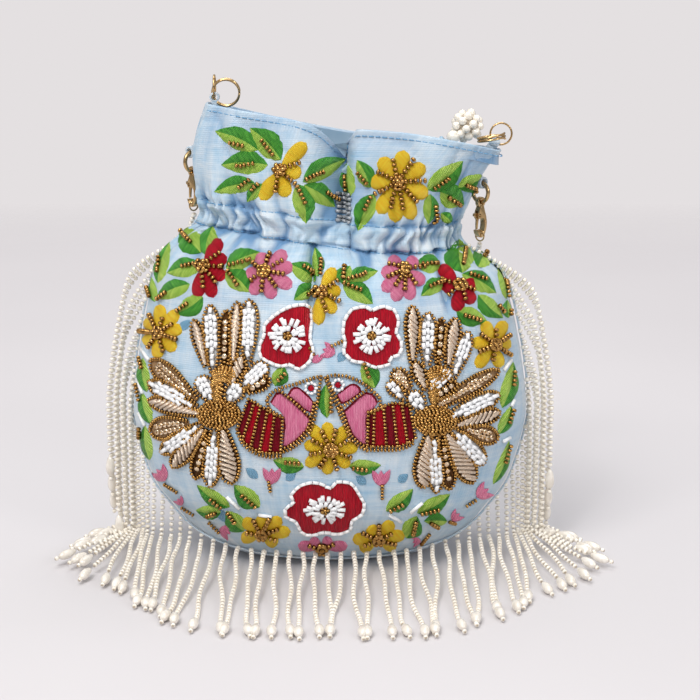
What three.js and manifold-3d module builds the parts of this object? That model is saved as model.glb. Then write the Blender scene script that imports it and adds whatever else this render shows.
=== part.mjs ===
import * as THREE from 'three';
import { LoftGeometry } from 'three/addons/geometries/LoftGeometry.js';
import { mergeVertices } from 'three/addons/utils/BufferGeometryUtils.js';
import Module from 'manifold-3d';

const wasm = await Module();
wasm.setup();

// Driving sizes in millimetres, origin at the middle of the flat base, front towards -Y
const bodyWidth = 197;
const bodyDepth = 116;
const baseWidth = 100;
const baseDepth = 44;
const bellyHeight = 72;
const casingHeight = 168;
const casingBand = 12;
const neckWidth = 125;
const neckDepth = 52;
const collarHeight = 45.5;
const collarWidth = 141;
const collarDepth = 40;
const collarShift = 12;
const collarRoll = -0.157;
const neckRoll = -0.079;
const pleatAt = 10;
const pleatWidth = 11;
const pleatTop = 17;
const pleatNeck = 7;
const silkThick = 1.2;
const liningThick = 0.8;
const clothGap = 0.3;
const seamGap = 0.3;
const seamFrontHeight = 4;
const cordThick = 2.4;
const casingSlack = 1.8;
const strandCount = 54;
const strandLength = 148;
const middleStrandLength = 98;
const pearlSize = 3.3;
const dropLength = 11;
const dropWidth = 5;
const pipingThick = 1.6;
const seamTop = 164;
const jumpRingSize = 11.6;
const jumpWire = 1.1;
const splitRingSize = 14.5;
const splitWire = 1.3;
const sideRingSize = 12;
const sideWire = 2.2;
const tabThick = 0.9;
const tabStrip = 4.4;
const tabLegs = 9;
const ringFit = 0.95;
const claspLength = 17.6;
const claspThick = 3;
const claspEyeFit = 0.5;
const leverThick = 0.9;
const leverFit = 0.3;
const pinSize = 1;
const endRingSize = 6.5;
const endWire = 0.9;
const togglePearlSize = 6.5;
const clusterSize = 17;
const clusterPearlSize = 4.2;
const clusterPearls = 22;
const liningDrop = 0.4;
const mouthCut = 5;
const roundSteps = 40;

// Rows of the bag from its base to the collar edge: height, half width, half depth, shift, roll
const w = bodyWidth / 197;
const d = bodyDepth / 116;
const h = casingHeight / 168;
const bandHalf = casingBand / 2;
const bodyRows = [
  [0, baseWidth / 2, baseDepth / 2, 0, 0],
  [seamFrontHeight, 57 * w, 31 * d, 0, 0],
  [13 * h, 70 * w, 41 * d, 0, 0],
  [24 * h, 79 * w, 48 * d, 0, 0],
  [40 * h, 90 * w, 54 * d, 0, 0],
  [bellyHeight, bodyWidth / 2, bodyDepth / 2, 0, 0],
  [97 * h, 96 * w, 55 * d, 0, 0],
  [123 * h, 91 * w, 49 * d, 0, 0],
  [141 * h, 86 * w, 43 * d, 0, neckRoll * 0.2],
  [151 * h, 79 * w, 37 * d, 0, neckRoll * 0.55],
  [157 * h, 71 * w, 32 * d, 0, neckRoll * 0.8],
];
const neckRows = [-bandHalf, 0, bandHalf].map((dz) => [
  casingHeight + dz, neckWidth / 2 + Math.abs(dz) * 0.25, neckDepth / 2 + Math.abs(dz) * 0.2, 0, neckRoll,
]);
const collarRows = [0.42, 0.7, 1].map((k) => [
  casingHeight + bandHalf + (collarHeight - bandHalf) * k,
  neckWidth / 2 + (collarWidth - neckWidth) / 2 * Math.sin(k * Math.PI / 2) + 1,
  neckDepth / 2 + (collarDepth - neckDepth) / 2 * k,
  collarShift * k * k,
  neckRoll + (collarRoll - neckRoll) * k,
]);
const rows = [...bodyRows, ...neckRows, ...collarRows];
const neckRow = bodyRows.length + 1;
const topRow = rows.length - 1;

// One point of the bag surface, moved inwards by an offset, at a row and an angle
function bagPoint(row, angle, inset, lift = 0) {
  const [z, a, b, shift, roll] = rows[row];
  const rise = Math.max(0, (row - neckRow) / (topRow - neckRow));
  const power = 2 / (2.15 + 0.9 * rise);
  const c = Math.cos(angle);
  const s = Math.sin(angle);
  const x = shift + (a - inset) * Math.sign(c) * Math.abs(c) ** power;
  let y = (b - inset) * Math.sign(s) * Math.abs(s) ** power;
  const deep = row < neckRow - 1 ? 0 : pleatNeck + (pleatTop - pleatNeck) * rise;
  const along = shift + a * Math.sign(c) * Math.abs(c) ** power - pleatAt;
  if (s < 0) y += deep * Math.exp(-((along / pleatWidth) ** 2)) * Math.min(1, -s * 2);
  return new THREE.Vector3(x, y, z + lift + roll * (x - shift));
}

// Points that the fittings are set out from: corners of the collar edge, and its sides one row lower
const V = (x, y, z) => new THREE.Vector3(x, y, z);
const from = (point, x, y, z) => point.clone().add(V(x, y, z));
const leftCorner = bagPoint(topRow, Math.PI, 0);
const rightCorner = bagPoint(topRow, 0, 0);
const leftSide = bagPoint(topRow - 1, Math.PI, 0);
const rightSide = bagPoint(topRow - 1, 0, 0);

function bagRing(row, inset, lift = 0) {
  return Array.from({ length: roundSteps }, (_, i) => bagPoint(row, i / roundSteps * Math.PI * 2, inset, lift));
}

// Solids in and out of the boolean kernel
function solid(geometry) {
  const plain = new THREE.BufferGeometry().copy(geometry);
  plain.deleteAttribute('normal');
  plain.deleteAttribute('uv');
  const merged = mergeVertices(plain, 1e-4);
  return new wasm.Manifold(new wasm.Mesh({
    numProp: 3,
    vertProperties: new Float32Array(merged.attributes.position.array),
    triVerts: new Uint32Array(merged.index.array),
  }));
}

// The bag as a filled body, its surface moved inwards and its floor and edge moved up
function bagBody(inset, floor, over) {
  const sections = rows.map((_, row) => bagRing(row, inset(row), row < 3 ? floor * (1 - row / 3) : 0));
  sections.push(bagRing(topRow, inset(topRow), over));
  if (over <= 0) sections.splice(topRow, 1);
  return solid(new LoftGeometry(sections, { capStart: true, capEnd: true }));
}

function geometryOf(manifold) {
  const mesh = manifold.getMesh();
  const geometry = new THREE.BufferGeometry();
  geometry.setAttribute('position', new THREE.Float32BufferAttribute(mesh.vertProperties, 3));
  geometry.setIndex(new THREE.Uint32BufferAttribute(mesh.triVerts, 1));
  return geometry;
}

function circle(radius, sides) {
  const shape = new THREE.Shape();
  for (let i = 0; i < sides; i += 1) {
    const angle = (i + 0.5) / sides * Math.PI * 2;
    const point = [radius * Math.cos(angle), radius * Math.sin(angle)];
    if (i) shape.lineTo(...point);
    else shape.moveTo(...point);
  }
  shape.closePath();
  return shape;
}

function tube(points, thick, sides, steps) {
  const path = new THREE.CatmullRomCurve3(points, false, 'centripetal');
  return new THREE.ExtrudeGeometry(circle(thick / 2, sides), { extrudePath: path, steps });
}

function ring(size, wire, sides, steps) {
  return new THREE.TorusGeometry((size - wire) / 2, wire / 2, sides, steps);
}

const group = new THREE.Group();
const colours = {
  silk: [0xa9cbe0, 0.5, 0], lining: [0xc9d9e6, 0.6, 0], pearl: [0xf3ecdd, 0.25, 0],
  gold: [0xc9a468, 0.25, 1], cord: [0x9fc3dc, 0.7, 0],
};

function add(name, geometry, kind) {
  const [color, roughness, metalness] = colours[kind];
  const mesh = new THREE.Mesh(geometry, new THREE.MeshStandardMaterial({ color, roughness, metalness }));
  mesh.name = name;
  group.add(mesh);
}

// Side and bottom seam: where the front panel meets the back panel, as depth against height
const seamLine = new THREE.CatmullRomCurve3([
  [-rows[1][2] - 0.05, seamFrontHeight], [-22, 12], [-10, 26], [-3, 44], [0, 66], [0, 130], [0, 260],
].map(([y, z]) => new THREE.Vector3(0, y, z)), false, 'centripetal');
const seamPoints = seamLine.getSpacedPoints(26);

function frontCut(gap) {
  const shape = new THREE.Shape();
  seamPoints.forEach((p, i) => (i ? shape.lineTo(p.z, p.y + gap) : shape.moveTo(p.z - gap, p.y + gap)));
  shape.lineTo(260, -200);
  shape.lineTo(seamFrontHeight - gap, -200);
  shape.closePath();
  const cut = new THREE.ExtrudeGeometry(shape, { depth: 300, bevelEnabled: false, curveSegments: 1 });
  cut.applyMatrix4(new THREE.Matrix4().set(0, 0, 1, -150, 0, 1, 0, 0, 1, 0, 0, 0, 0, 0, 0, 1));
  const made = solid(cut);
  return made.volume() > 0 ? made : solid(flipped(cut));
}

function flipped(geometry) {
  const out = new THREE.BufferGeometry().copy(geometry);
  const p = out.attributes.position;
  for (let i = 0; i < p.count; i += 3) {
    const a = new THREE.Vector3().fromBufferAttribute(p, i);
    const b = new THREE.Vector3().fromBufferAttribute(p, i + 1);
    p.setXYZ(i, b.x, b.y, b.z);
    p.setXYZ(i + 1, a.x, a.y, a.z);
  }
  return out;
}

// Drawstring: round the casing, out through the back panel, up and over the back edge
const inCasing = silkThick + casingSlack / 2 + cordThick / 2;
const exitAngle = 1.08;
const drawPoints = [];
for (let i = 0; i <= 44; i += 1) {
  drawPoints.push(bagPoint(neckRow, exitAngle + 0.16 + (Math.PI * 2 - 0.32) * i / 44, inCasing));
}
const outside = -(cordThick / 2 + clothGap * 3);
drawPoints.push(bagPoint(neckRow, exitAngle + Math.PI * 2, outside));
drawPoints.push(bagPoint(neckRow + 1, exitAngle, outside - 0.8));
drawPoints.push(bagPoint(neckRow + 2, exitAngle, outside - 0.5));
drawPoints.push(bagPoint(neckRow + 3, exitAngle, outside));
drawPoints.push(bagPoint(topRow, exitAngle, outside, -1));
drawPoints.push(bagPoint(topRow, exitAngle, 0.8, cordThick / 2 + 0.7));
drawPoints.push(bagPoint(topRow, exitAngle, 3.6, cordThick / 2 + 0.3));
drawPoints.push(bagPoint(topRow, exitAngle, 6.5, -1.5));
const togglePearl = from(rightCorner, -23.2, 3.25, 5.78);
const lastCord = drawPoints[drawPoints.length - 1];
const toPearl = lastCord.clone().sub(togglePearl).normalize();
drawPoints.push(togglePearl.clone().addScaledVector(toPearl, togglePearlSize / 2 + clothGap));

// Outer panels, cut apart along the seam
const shell = bagBody(() => 0, 0, 0).subtract(bagBody(() => silkThick, silkThick, mouthCut));
const front = shell.intersect(frontCut(-seamGap / 2));
const exitHole = solid(tube(drawPoints.slice(40, 50), cordThick + clothGap * 7, 8, 30));
const back = shell.subtract(frontCut(seamGap / 2)).subtract(exitHole);
add('front_panel', geometryOf(front), 'silk');
add('back_panel', geometryOf(back), 'silk');

// Lining, drawn in at the casing to leave room for the drawstring
const inCasingRow = (row) => row >= neckRow - 1 && row <= neckRow + 1;
const liningOuter = (row) => silkThick + (inCasingRow(row) ? casingSlack + cordThick : clothGap);
const liningInner = (row) => liningOuter(row) + liningThick;
const liningFloor = silkThick + clothGap;
const liningHollow = bagBody(liningInner, liningFloor + liningThick, mouthCut);
const lining = bagBody(liningOuter, liningFloor, -liningDrop).subtract(liningHollow);
add('lining', geometryOf(lining), 'lining');
add('drawstring', tube(drawPoints, cordThick, 6, 84), 'cord');

// Toggle of the drawstring: one large pearl and a ball of small ones
const pearl = new THREE.SphereGeometry(togglePearlSize / 2, 14, 10);
add('toggle_pearl', pearl.translate(...togglePearl), 'pearl');
const clusterAt = from(rightCorner, -16, 10, 10.73);
const ball = (clusterSize - clusterPearlSize) / 2;
const clusterBits = [solid(new THREE.IcosahedronGeometry(ball, 1))];
for (let i = 0; i < clusterPearls; i += 1) {
  const up = 1 - 2 * (i + 0.5) / clusterPearls;
  const turn = i * Math.PI * (3 - Math.sqrt(5));
  const flat = Math.sqrt(1 - up * up);
  const bead = new THREE.SphereGeometry(clusterPearlSize / 2, 7, 5);
  bead.translate(ball * flat * Math.cos(turn), ball * flat * Math.sin(turn), ball * up);
  clusterBits.push(solid(bead));
}
const cluster = geometryOf(wasm.Manifold.union(clusterBits));
add('pearl_cluster', cluster.translate(...clusterAt), 'pearl');

// Pearl fringe: piping in the seam and the strands that hang from it
function seamPoint(z, side) {
  const at = seamPoints.reduce((best, p) => (Math.abs(p.z - z) < Math.abs(best.z - z) ? p : best));
  const k = seamPoints.indexOf(at);
  const other = seamPoints[Math.min(seamPoints.length - 1, Math.max(0, k + (z > at.z ? 1 : -1)))];
  const y = other === at ? at.y : at.y + (other.y - at.y) * (z - at.z) / ((other.z - at.z) || 1);
  let row = 0;
  while (rows[row + 1][0] < z) row += 1;
  const k2 = (z - rows[row][0]) / (rows[row + 1][0] - rows[row][0]);
  const a = rows[row][1] + (rows[row + 1][1] - rows[row][1]) * k2;
  const b = rows[row][2] + (rows[row + 1][2] - rows[row][2]) * k2;
  const roll = rows[row][4] + (rows[row + 1][4] - rows[row][4]) * k2;
  const part = Math.max(0, 1 - (Math.abs(y) / b) ** 2.15) ** (1 / 2.15);
  const x = side * a * part;
  return new THREE.Vector3(x, y, z + roll * x);
}

function outwards(p) {
  return new THREE.Vector3(p.x / bodyWidth ** 2, p.y / bodyDepth ** 2, 0).normalize();
}

const seamRun = [];
for (let i = -40; i <= 40; i += 1) {
  const t = Math.abs(i) / 40;
  seamRun.push(seamPoint(seamFrontHeight + (seamTop - seamFrontHeight) * t ** 1.6, Math.sign(i) || 1));
}
const offSeam = pipingThick / 2 + clothGap + 0.5;
const pipingRun = seamRun.map((p) => p.clone().addScaledVector(outwards(p), offSeam));
const pipingCurve = new THREE.CatmullRomCurve3(pipingRun, false, 'centripetal');
const floorAt = pearlSize / 2 + 0.05;

// Heading of a strand on the floor: straight ahead under the bag, turning outwards at the sides
function strandAim(i) {
  const s = 2 * (i + 0.5) / strandCount - 1;
  return Math.sign(s) * Math.min(1.1, 1.3 * (Math.max(0, Math.abs(s) - 0.42) / 0.3) ** 2);
}

// Strands from under the bag show a shorter run than those from its sides
function strandLengthAt(i) {
  const s = Math.abs(2 * (i + 0.5) / strandCount - 1);
  const share = Math.min(1, Math.max(0, (s - 0.28) / 0.55)) ** 1.15;
  return middleStrandLength + (strandLength - middleStrandLength) * share;
}

// One strand: down the side of the bag, along the floor if it reaches it, cut at its length
function strandPath(i) {
  const s = 2 * (i + 0.5) / strandCount - 1;
  const start = pipingCurve.getPointAt((s + 1) / 2);
  const side = Math.sign(s);
  const fromTop = Math.min(i, strandCount - 1 - i);
  const line = [start.clone()];
  const out = 2.4 + 3.5 * Math.max(0, 3 - Math.floor(fromTop / 3));
  const depth = start.z > bellyHeight ? start.y + 4.4 * (fromTop % 3 - 1) : start.y - 1;
  for (let z = start.z - 5; z > floorAt + 5; z -= 7) {
    const under = seamPoint(Math.min(seamTop, Math.max(z, bellyHeight)), side);
    const wide = start.z > bellyHeight ? Math.abs(under.x) + out : Math.abs(start.x) + 1;
    const k = Math.min(1, (start.z - z) / 30);
    line.push(new THREE.Vector3(side * Math.max(wide, Math.abs(start.x)), start.y + (depth - start.y) * k, z));
  }
  const foot = line[line.length - 1];
  const aim = strandAim(i);
  for (let run = 4; run < strandLength + 30; run += 8) {
    const sway = 1.5 * Math.sin(run / 15 + i * 1.7) * Math.min(1, run / 20);
    line.push(new THREE.Vector3(
      foot.x + Math.sin(aim) * run + Math.cos(aim) * sway,
      foot.y - Math.cos(aim) * run + Math.sin(aim) * sway,
      floorAt,
    ));
  }
  return line;
}

function cutToLength(line, length) {
  const curve = new THREE.CatmullRomCurve3(line, false, 'centripetal');
  const share = Math.min(1, length / curve.getLength());
  return (k) => curve.getPointAt(k * share);
}

const strandRings = [0, 0.07, 0.24, 0.42, 0.6, 0.78, 0.89, 0.925, 0.96, 1];
const strandSides = 4;

function strand(i) {
  const length = strandLengthAt(i);
  const at = cutToLength(strandPath(i), length);
  const dropFrom = 1 - (dropLength + pearlSize) / length;
  const level = new THREE.Vector3(Math.cos(strandAim(i)), Math.sin(strandAim(i)), 0);
  const sections = strandRings.map((k) => {
    const p = at(k);
    const ahead = at(Math.min(1, k + 0.01)).sub(at(Math.max(0, k - 0.01))).normalize();
    const upward = ahead.clone().cross(level).normalize();
    const across = upward.clone().cross(ahead);
    const inDrop = k > dropFrom + 0.01 && k < 0.98;
    const radius = inDrop ? dropWidth / 2 : pearlSize / 2 * (k > 0.98 ? 0.8 : 1);
    if (p.z < radius + 0.05) p.z = radius + 0.05;
    return Array.from({ length: strandSides }, (_, n) => {
      const angle = n / strandSides * Math.PI * 2;
      const q = p.clone().addScaledVector(across, radius * Math.cos(angle));
      return q.addScaledVector(upward, radius * Math.sin(angle));
    });
  });
  return new LoftGeometry(sections, { capStart: true, capEnd: true });
}

const piping = tube(pipingRun, pipingThick, 4, 64);
const fringeBits = [solid(piping)];
for (let i = 0; i < strandCount; i += 1) fringeBits.push(solid(strand(i)));
const clearOfBag = wasm.Manifold.union(fringeBits).subtract(bagBody(() => -clothGap, 0, 0));
const fringe = clearOfBag.decompose().sort((a, b) => b.volume() - a.volume());
add('pearl_fringe', geometryOf(fringe[0]), 'pearl');

// A geometry set into the bag by an origin and three directions
function place(geometry, origin, x, y, z) {
  return geometry.applyMatrix4(new THREE.Matrix4().makeBasis(x, y, z).setPosition(origin));
}

function plate(points, thick) {
  const shape = new THREE.Shape(points.map(([x, y]) => new THREE.Vector2(x, y)));
  return new THREE.ExtrudeGeometry(shape, { depth: thick, bevelEnabled: false }).translate(0, 0, -thick / 2);
}

function disc(radius, thick, sides, x, y) {
  const flat = new THREE.ExtrudeGeometry(circle(radius, sides), { depth: thick, bevelEnabled: false });
  return flat.translate(x, y, -thick / 2);
}

const up = V(0, 0, 1);
const aroundBag = bagBody(() => -clothGap, 0, 0);

// Fabric tab folded round a ring: the fold lies at the origin, the legs run down
function foldedTab(wire, legs) {
  const tunnel = wire / 2 + ringFit;
  const half = tabThick + 0.1;
  const outer = tunnel + tabThick;
  const from = -Math.acos(half / outer);
  const points = [[half, -legs]];
  for (let i = 0; i <= 14; i += 1) {
    const angle = from + (Math.PI - 2 * from) * i / 14;
    points.push([outer * Math.cos(angle), outer * Math.sin(angle)]);
  }
  points.push([-half, -legs]);
  return geometryOf(solid(plate(points, tabStrip)).subtract(solid(disc(tunnel, tabStrip + 2, 12, 0, 0))));
}

// Two turns of wire, as a split ring is wound
function splitRing(centre, across, along, normal) {
  const radius = (splitRingSize - splitWire) / 2;
  const pitch = splitWire + 0.12;
  const points = [];
  for (let i = 0; i <= 48; i += 1) {
    const turn = i / 48 * Math.PI * 4;
    const p = centre.clone().addScaledVector(across, radius * Math.cos(turn));
    p.addScaledVector(along, radius * Math.sin(turn));
    points.push(p.addScaledVector(normal, pitch * (i / 24 - 1)));
  }
  return tube(points, splitWire, 6, 48);
}

// Corner of the collar: tab, thin jump ring through it, split ring through that
function cornerSet(name, tunnel, fold, leg, split) {
  const side = fold.clone().cross(leg);
  const jumpCentre = tunnel.clone().addScaledVector(leg, (jumpRingSize - jumpWire) / 2);
  const back = fold.clone().negate();
  add(`corner_tab_${name}`, place(foldedTab(jumpWire, tabLegs), tunnel, side, leg, back), 'silk');
  const jump = ring(jumpRingSize, jumpWire, 6, 26);
  add(`jump_ring_${name}`, place(jump, jumpCentre, fold, leg, side), 'gold');
  const normal = split.across.clone().cross(split.along);
  add(`split_ring_${name}`, splitRing(split.centre, split.across, split.along, normal), 'gold');
}

// A split ring hangs by its wire from the point where it passes the jump ring
const splitRadius = (splitRingSize - splitWire) / 2;
function hungFrom(pass, across, along, angle) {
  const centre = pass.clone().addScaledVector(across, -splitRadius * Math.cos(angle));
  return { centre: centre.addScaledVector(along, -splitRadius * Math.sin(angle)), across, along };
}

// Left corner: the split ring rests on the jump ring's wire and leans clear of the tab
const hangGap = 0.2;
const leanOut = 2.089797670;
const leftTunnel = from(leftCorner, 4.05, 0, 2.9);
const leftPass = from(leftTunnel, 0, 2.855101165, 5.827873015);
const leftAngle = Math.acos((hangGap + (splitWire + jumpWire) / 2) / splitRadius - 1);
const lean = Math.asin(leanOut / (2 * splitRadius * Math.sin(leftAngle)));
const leftAlong = V(0, -Math.sin(lean), Math.cos(lean));
cornerSet('left', leftTunnel, V(0, 1, 0), up.clone(), hungFrom(leftPass, V(1, 0, 0), leftAlong, leftAngle));

// Right corner: the tab turns with the slope of the collar's side
const tabTurn = 0.036141;
const tilt = 0.16;
const slope = Math.atan2(rightCorner.x - rightSide.x, rightCorner.z - rightSide.z) + tabTurn;
const rightLeg = V(Math.sin(slope), 0, Math.cos(slope));
const rightFold = V(-Math.cos(slope), 0, Math.sin(slope));
const rightTunnel = rightCorner.clone().addScaledVector(rightLeg, 0.764).addScaledVector(rightFold, 4.698);
const rightPass = rightTunnel.clone().addScaledVector(rightLeg, 5.61062).addScaledVector(rightFold, -2.06166);
const rightAcross = V(Math.cos(tilt), 0, Math.sin(tilt));
cornerSet('right', rightTunnel, rightFold, rightLeg, hungFrom(rightPass, rightAcross, V(0, 1, 0), 0));

// Lobster clasp in its own plane: eye at the origin, claw hanging down
const clawOutline = [
  [1.1, -1.8], [1.9, -4.2], [3, -7], [3.6, -10], [3.4, -12.8], [2.5, -15.4], [0.9, -17.2], [-0.2, -claspLength],
  [-1.6, -16.9], [-2.8, -15.2], [-3.2, -13.7], [-2.1, -13.5], [-1.5, -14.7], [-0.4, -15.5], [0.8, -15],
  [1.7, -13.2], [2, -11], [1.8, -9], [0.9, -7.9], [-0.6, -7.7], [-2.6, -8], [-3.1, -6.4], [-2.4, -4.4],
  [-1.1, -1.8],
].reverse();
const leverOutline = [
  [-1.8, -4.9], [-3.2, -5], [-5, -5.2], [-5.2, -6.4], [-3.6, -7.2], [-3, -8.6], [-3.1, -11], [-3, -13.3],
  [-2.1, -13.1], [-1.9, -11], [-1.5, -8.4], [-0.8, -7.2], [-0.8, -5.4],
];
const pivot = [-1.7, -6.3];
const eyeHole = sideWire / 2 + claspEyeFit;
const slot = leverThick + 2 * leverFit;

function claspBody() {
  const eye = solid(disc(eyeHole + 1.1, 2, 16, 0, 0));
  const claw = solid(plate(clawOutline, claspThick));
  const leverSlot = solid(plate([[-4, -8.4], [0, -8.4], [0, -4.3], [-4, -4.3]], slot));
  const pinHole = solid(disc(pinSize / 2 + leverFit, claspThick + 2, 10, ...pivot));
  const eyeBore = solid(disc(eyeHole, claspThick + 2, 14, 0, 0));
  return geometryOf(eye.add(claw).subtract(leverSlot).subtract(pinHole).subtract(eyeBore));
}

function claspLever() {
  const bar = solid(plate(leverOutline, leverThick));
  return geometryOf(bar.subtract(solid(disc(pinSize / 2 + leverFit, leverThick + 2, 10, ...pivot))));
}

// Side of the collar: ring sewn on by a tab, clasp on the ring, strap ring in the claw
function sideSet(name, centre, ringWay, outWay, sewTo) {
  const radius = (sideRingSize - sideWire) / 2;
  const loop = ring(sideRingSize, sideWire, 8, 24);
  add(`side_ring_${name}`, place(loop, centre, ringWay, up, ringWay.clone().cross(up)), 'gold');
  const tunnel = centre.clone().addScaledVector(up, radius);
  const leg = tunnel.clone().sub(sewTo).normalize();
  const across = ringWay.clone().cross(leg).normalize();
  const fold = leg.clone().cross(across).normalize();
  const tab = place(foldedTab(sideWire, tunnel.distanceTo(sewTo)), tunnel, across, leg, fold.clone().negate());
  add(`side_tab_${name}`, geometryOf(solid(tab).subtract(aroundBag)), 'silk');
  const eye = centre.clone().addScaledVector(up, -radius);
  const normal = outWay.clone().cross(up);
  const set = (geometry) => place(geometry, eye, outWay, up, normal);
  add(`clasp_body_${name}`, set(claspBody()), 'gold');
  add(`clasp_lever_${name}`, set(claspLever()), 'gold');
  add(`clasp_pin_${name}`, set(disc(pinSize / 2, claspThick - 0.2, 8, ...pivot)), 'gold');
  const endRing = ring(endRingSize, endWire, 6, 18).rotateY(Math.PI / 2).translate(0, 1 - claspLength, 0);
  add(`strap_ring_${name}`, set(endRing), 'gold');
}

const half = Math.SQRT1_2;
const leftRing = from(leftSide, -2.78, 9.5, -15.68);
const rightRing = from(rightSide, -1.98, 8, -11.82);
sideSet('left', leftRing, V(-half, -half, 0), V(half, -half, 0), from(leftRing, 5.5, -6.5, 11.6));
sideSet('right', rightRing, V(half, -half, 0), V(half, half, 0), from(rightRing, -3.5, -3.5, 12.6));

// Pearl hand strap, hung behind the bag from one clasp to the other
const strapBack = [
  [67, 32, 139.5], [62, 41, 122], [54, 50, 97], [44, 56.5, 72], [30, 60.5, 54], [15, 61.3, 45], [0, 61.5, 42],
  [-15, 61.3, 45], [-30, 60.5, 54], [-44, 56.5, 72], [-54, 50, 97], [-62, 41, 123], [-67, 32.5, 142],
].map(([x, y, z]) => V(x * w, y * d, z * h));
const strapPoints = [
  from(rightRing, 0.2, 1, -25.5),
  from(rightRing, 0, 6.5, -29.4),
  from(rightRing, -2, 14, -33.4),
  ...strapBack,
  from(leftRing, -3.5, 12.5, -41.4),
  from(leftRing, -2, 5, -31.9),
  from(leftRing, 0.3, 0.5, -25.5),
];
add('pearl_strap', tube(strapPoints, pearlSize, 6, 60), 'pearl');

export default group;
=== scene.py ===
import math
import random
import bmesh
import bpy
from mathutils import Matrix, Vector, noise
from mathutils.bvhtree import BVHTree


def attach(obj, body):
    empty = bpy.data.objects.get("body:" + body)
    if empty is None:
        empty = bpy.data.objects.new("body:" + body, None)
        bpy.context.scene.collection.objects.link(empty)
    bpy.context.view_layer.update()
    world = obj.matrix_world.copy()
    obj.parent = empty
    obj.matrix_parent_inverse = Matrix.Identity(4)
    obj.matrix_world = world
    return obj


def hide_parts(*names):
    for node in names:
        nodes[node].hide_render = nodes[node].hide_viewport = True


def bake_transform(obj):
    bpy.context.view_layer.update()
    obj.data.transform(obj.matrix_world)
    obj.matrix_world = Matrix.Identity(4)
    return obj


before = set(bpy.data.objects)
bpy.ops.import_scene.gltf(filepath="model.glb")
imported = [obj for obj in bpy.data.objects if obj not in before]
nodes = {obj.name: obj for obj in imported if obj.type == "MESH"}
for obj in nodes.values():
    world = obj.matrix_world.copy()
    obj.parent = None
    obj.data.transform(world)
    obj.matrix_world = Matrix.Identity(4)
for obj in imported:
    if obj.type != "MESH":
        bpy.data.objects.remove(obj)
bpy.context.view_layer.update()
scene = bpy.context.scene
scene.view_settings.view_transform = "Standard"
rng = random.Random(8777)
mm = 0.001
zenith = Vector((0, 0, 1))


# camera: where the picture was taken from, with the picture taken as 700 x 700
shot = {"size": 700, "focalPx": 1640, "eye": (0.010, -0.800, 0.284), "pitch": 12.8}
lens = bpy.data.cameras.new("photoCamera")
lens.sensor_width = 36
lens.lens = 36 * shot["focalPx"] / shot["size"]
camera = bpy.data.objects.new("photoCamera", lens)
scene.collection.objects.link(camera)
turn = Matrix.Rotation(math.radians(90 - shot["pitch"]), 4, "X")
camera.matrix_world = Matrix.Translation(shot["eye"]) @ turn
scene.camera = camera
print("camera set")


# shader maths: a socket that adds nodes when it is used in an expression
class Shade:
    def __init__(self, tree, socket=None):
        self.tree = tree
        self.socket = socket

    def node(self, kind, settings, inputs, out=0):
        made = self.tree.nodes.new("ShaderNode" + kind)
        for key, value in settings.items():
            setattr(made, key, value)
        for key, value in inputs.items():
            if isinstance(value, Shade):
                self.tree.links.new(value.socket, made.inputs[key])
            else:
                made.inputs[key].default_value = value
        return Shade(self.tree, made.outputs[out])

    def maths(self, operation, a, b):
        return self.node("Math", {"operation": operation}, {0: a, 1: b})

    def __add__(self, other):
        return self.maths("ADD", self, other)

    def __mul__(self, other):
        return self.maths("MULTIPLY", self, other)

    def __sub__(self, other):
        return self.maths("SUBTRACT", self, other)

    def __rsub__(self, other):
        return self.maths("SUBTRACT", other, self)

    __radd__ = __add__
    __rmul__ = __mul__

    def between(self, low, high):  # colour mix with this socket as its factor
        return self.node("Mix", {"data_type": "RGBA"}, {0: self, 6: low, 7: high}, 2)

    def spread(self, low, high):  # value remapped and clamped
        return self.node("MapRange", {}, {0: self, 1: low, 2: high})

    def wave(self, where, scale, distortion=0.0, detail=2.0, direction="X"):
        settings = {"wave_type": "BANDS", "bands_direction": direction}
        inputs = {"Vector": where, "Scale": scale, "Distortion": distortion, "Detail": detail}
        return self.node("TexWave", settings, inputs, "Fac")

    def cloud(self, where, scale, detail=3.0, rough=0.5):
        inputs = {"Vector": where, "Scale": scale, "Detail": detail, "Roughness": rough}
        return self.node("TexNoise", {}, inputs, "Fac")

    def scaled(self, where, factors):
        return self.node("Mapping", {}, {"Vector": where, "Scale": factors})

    def bump(self, height, strength, distance):
        return self.node("Bump", {}, {"Height": height, "Strength": strength, "Distance": distance})


def tone(r, g, b):  # screen colour 0-255 to the colour a shader takes
    line = [c / 255 for c in (r, g, b)]
    return (*[c / 12.92 if c < 0.04045 else ((c + 0.055) / 1.055) ** 2.4 for c in line], 1)


def finish(name, paint, **fixed):
    material = bpy.data.materials.new(name)
    material.use_nodes = True
    shader = material.node_tree.nodes["Principled BSDF"]
    for key, value in fixed.items():
        shader.inputs[key.replace("_", " ")].default_value = value
    start = Shade(material.node_tree)
    place = start.node("TexCoord", {}, {}, "Object")
    uv = start.node("TexCoord", {}, {}, "UV")
    for key, value in paint(start, place, uv).items():
        target = shader.inputs[key.replace("_", " ")]
        material.node_tree.links.new(value.socket, target)
    return material


# silk with slubs: long thin streaks along the weft, finer cross threads, and painted shade of deeper blue in the
# folds
# deep is the painted shade colour laid into the folds, creases and the pleat
silkLook = {"light": tone(228, 230, 230), "mid": tone(152, 187, 212), "deep": tone(80, 132, 178)}


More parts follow.
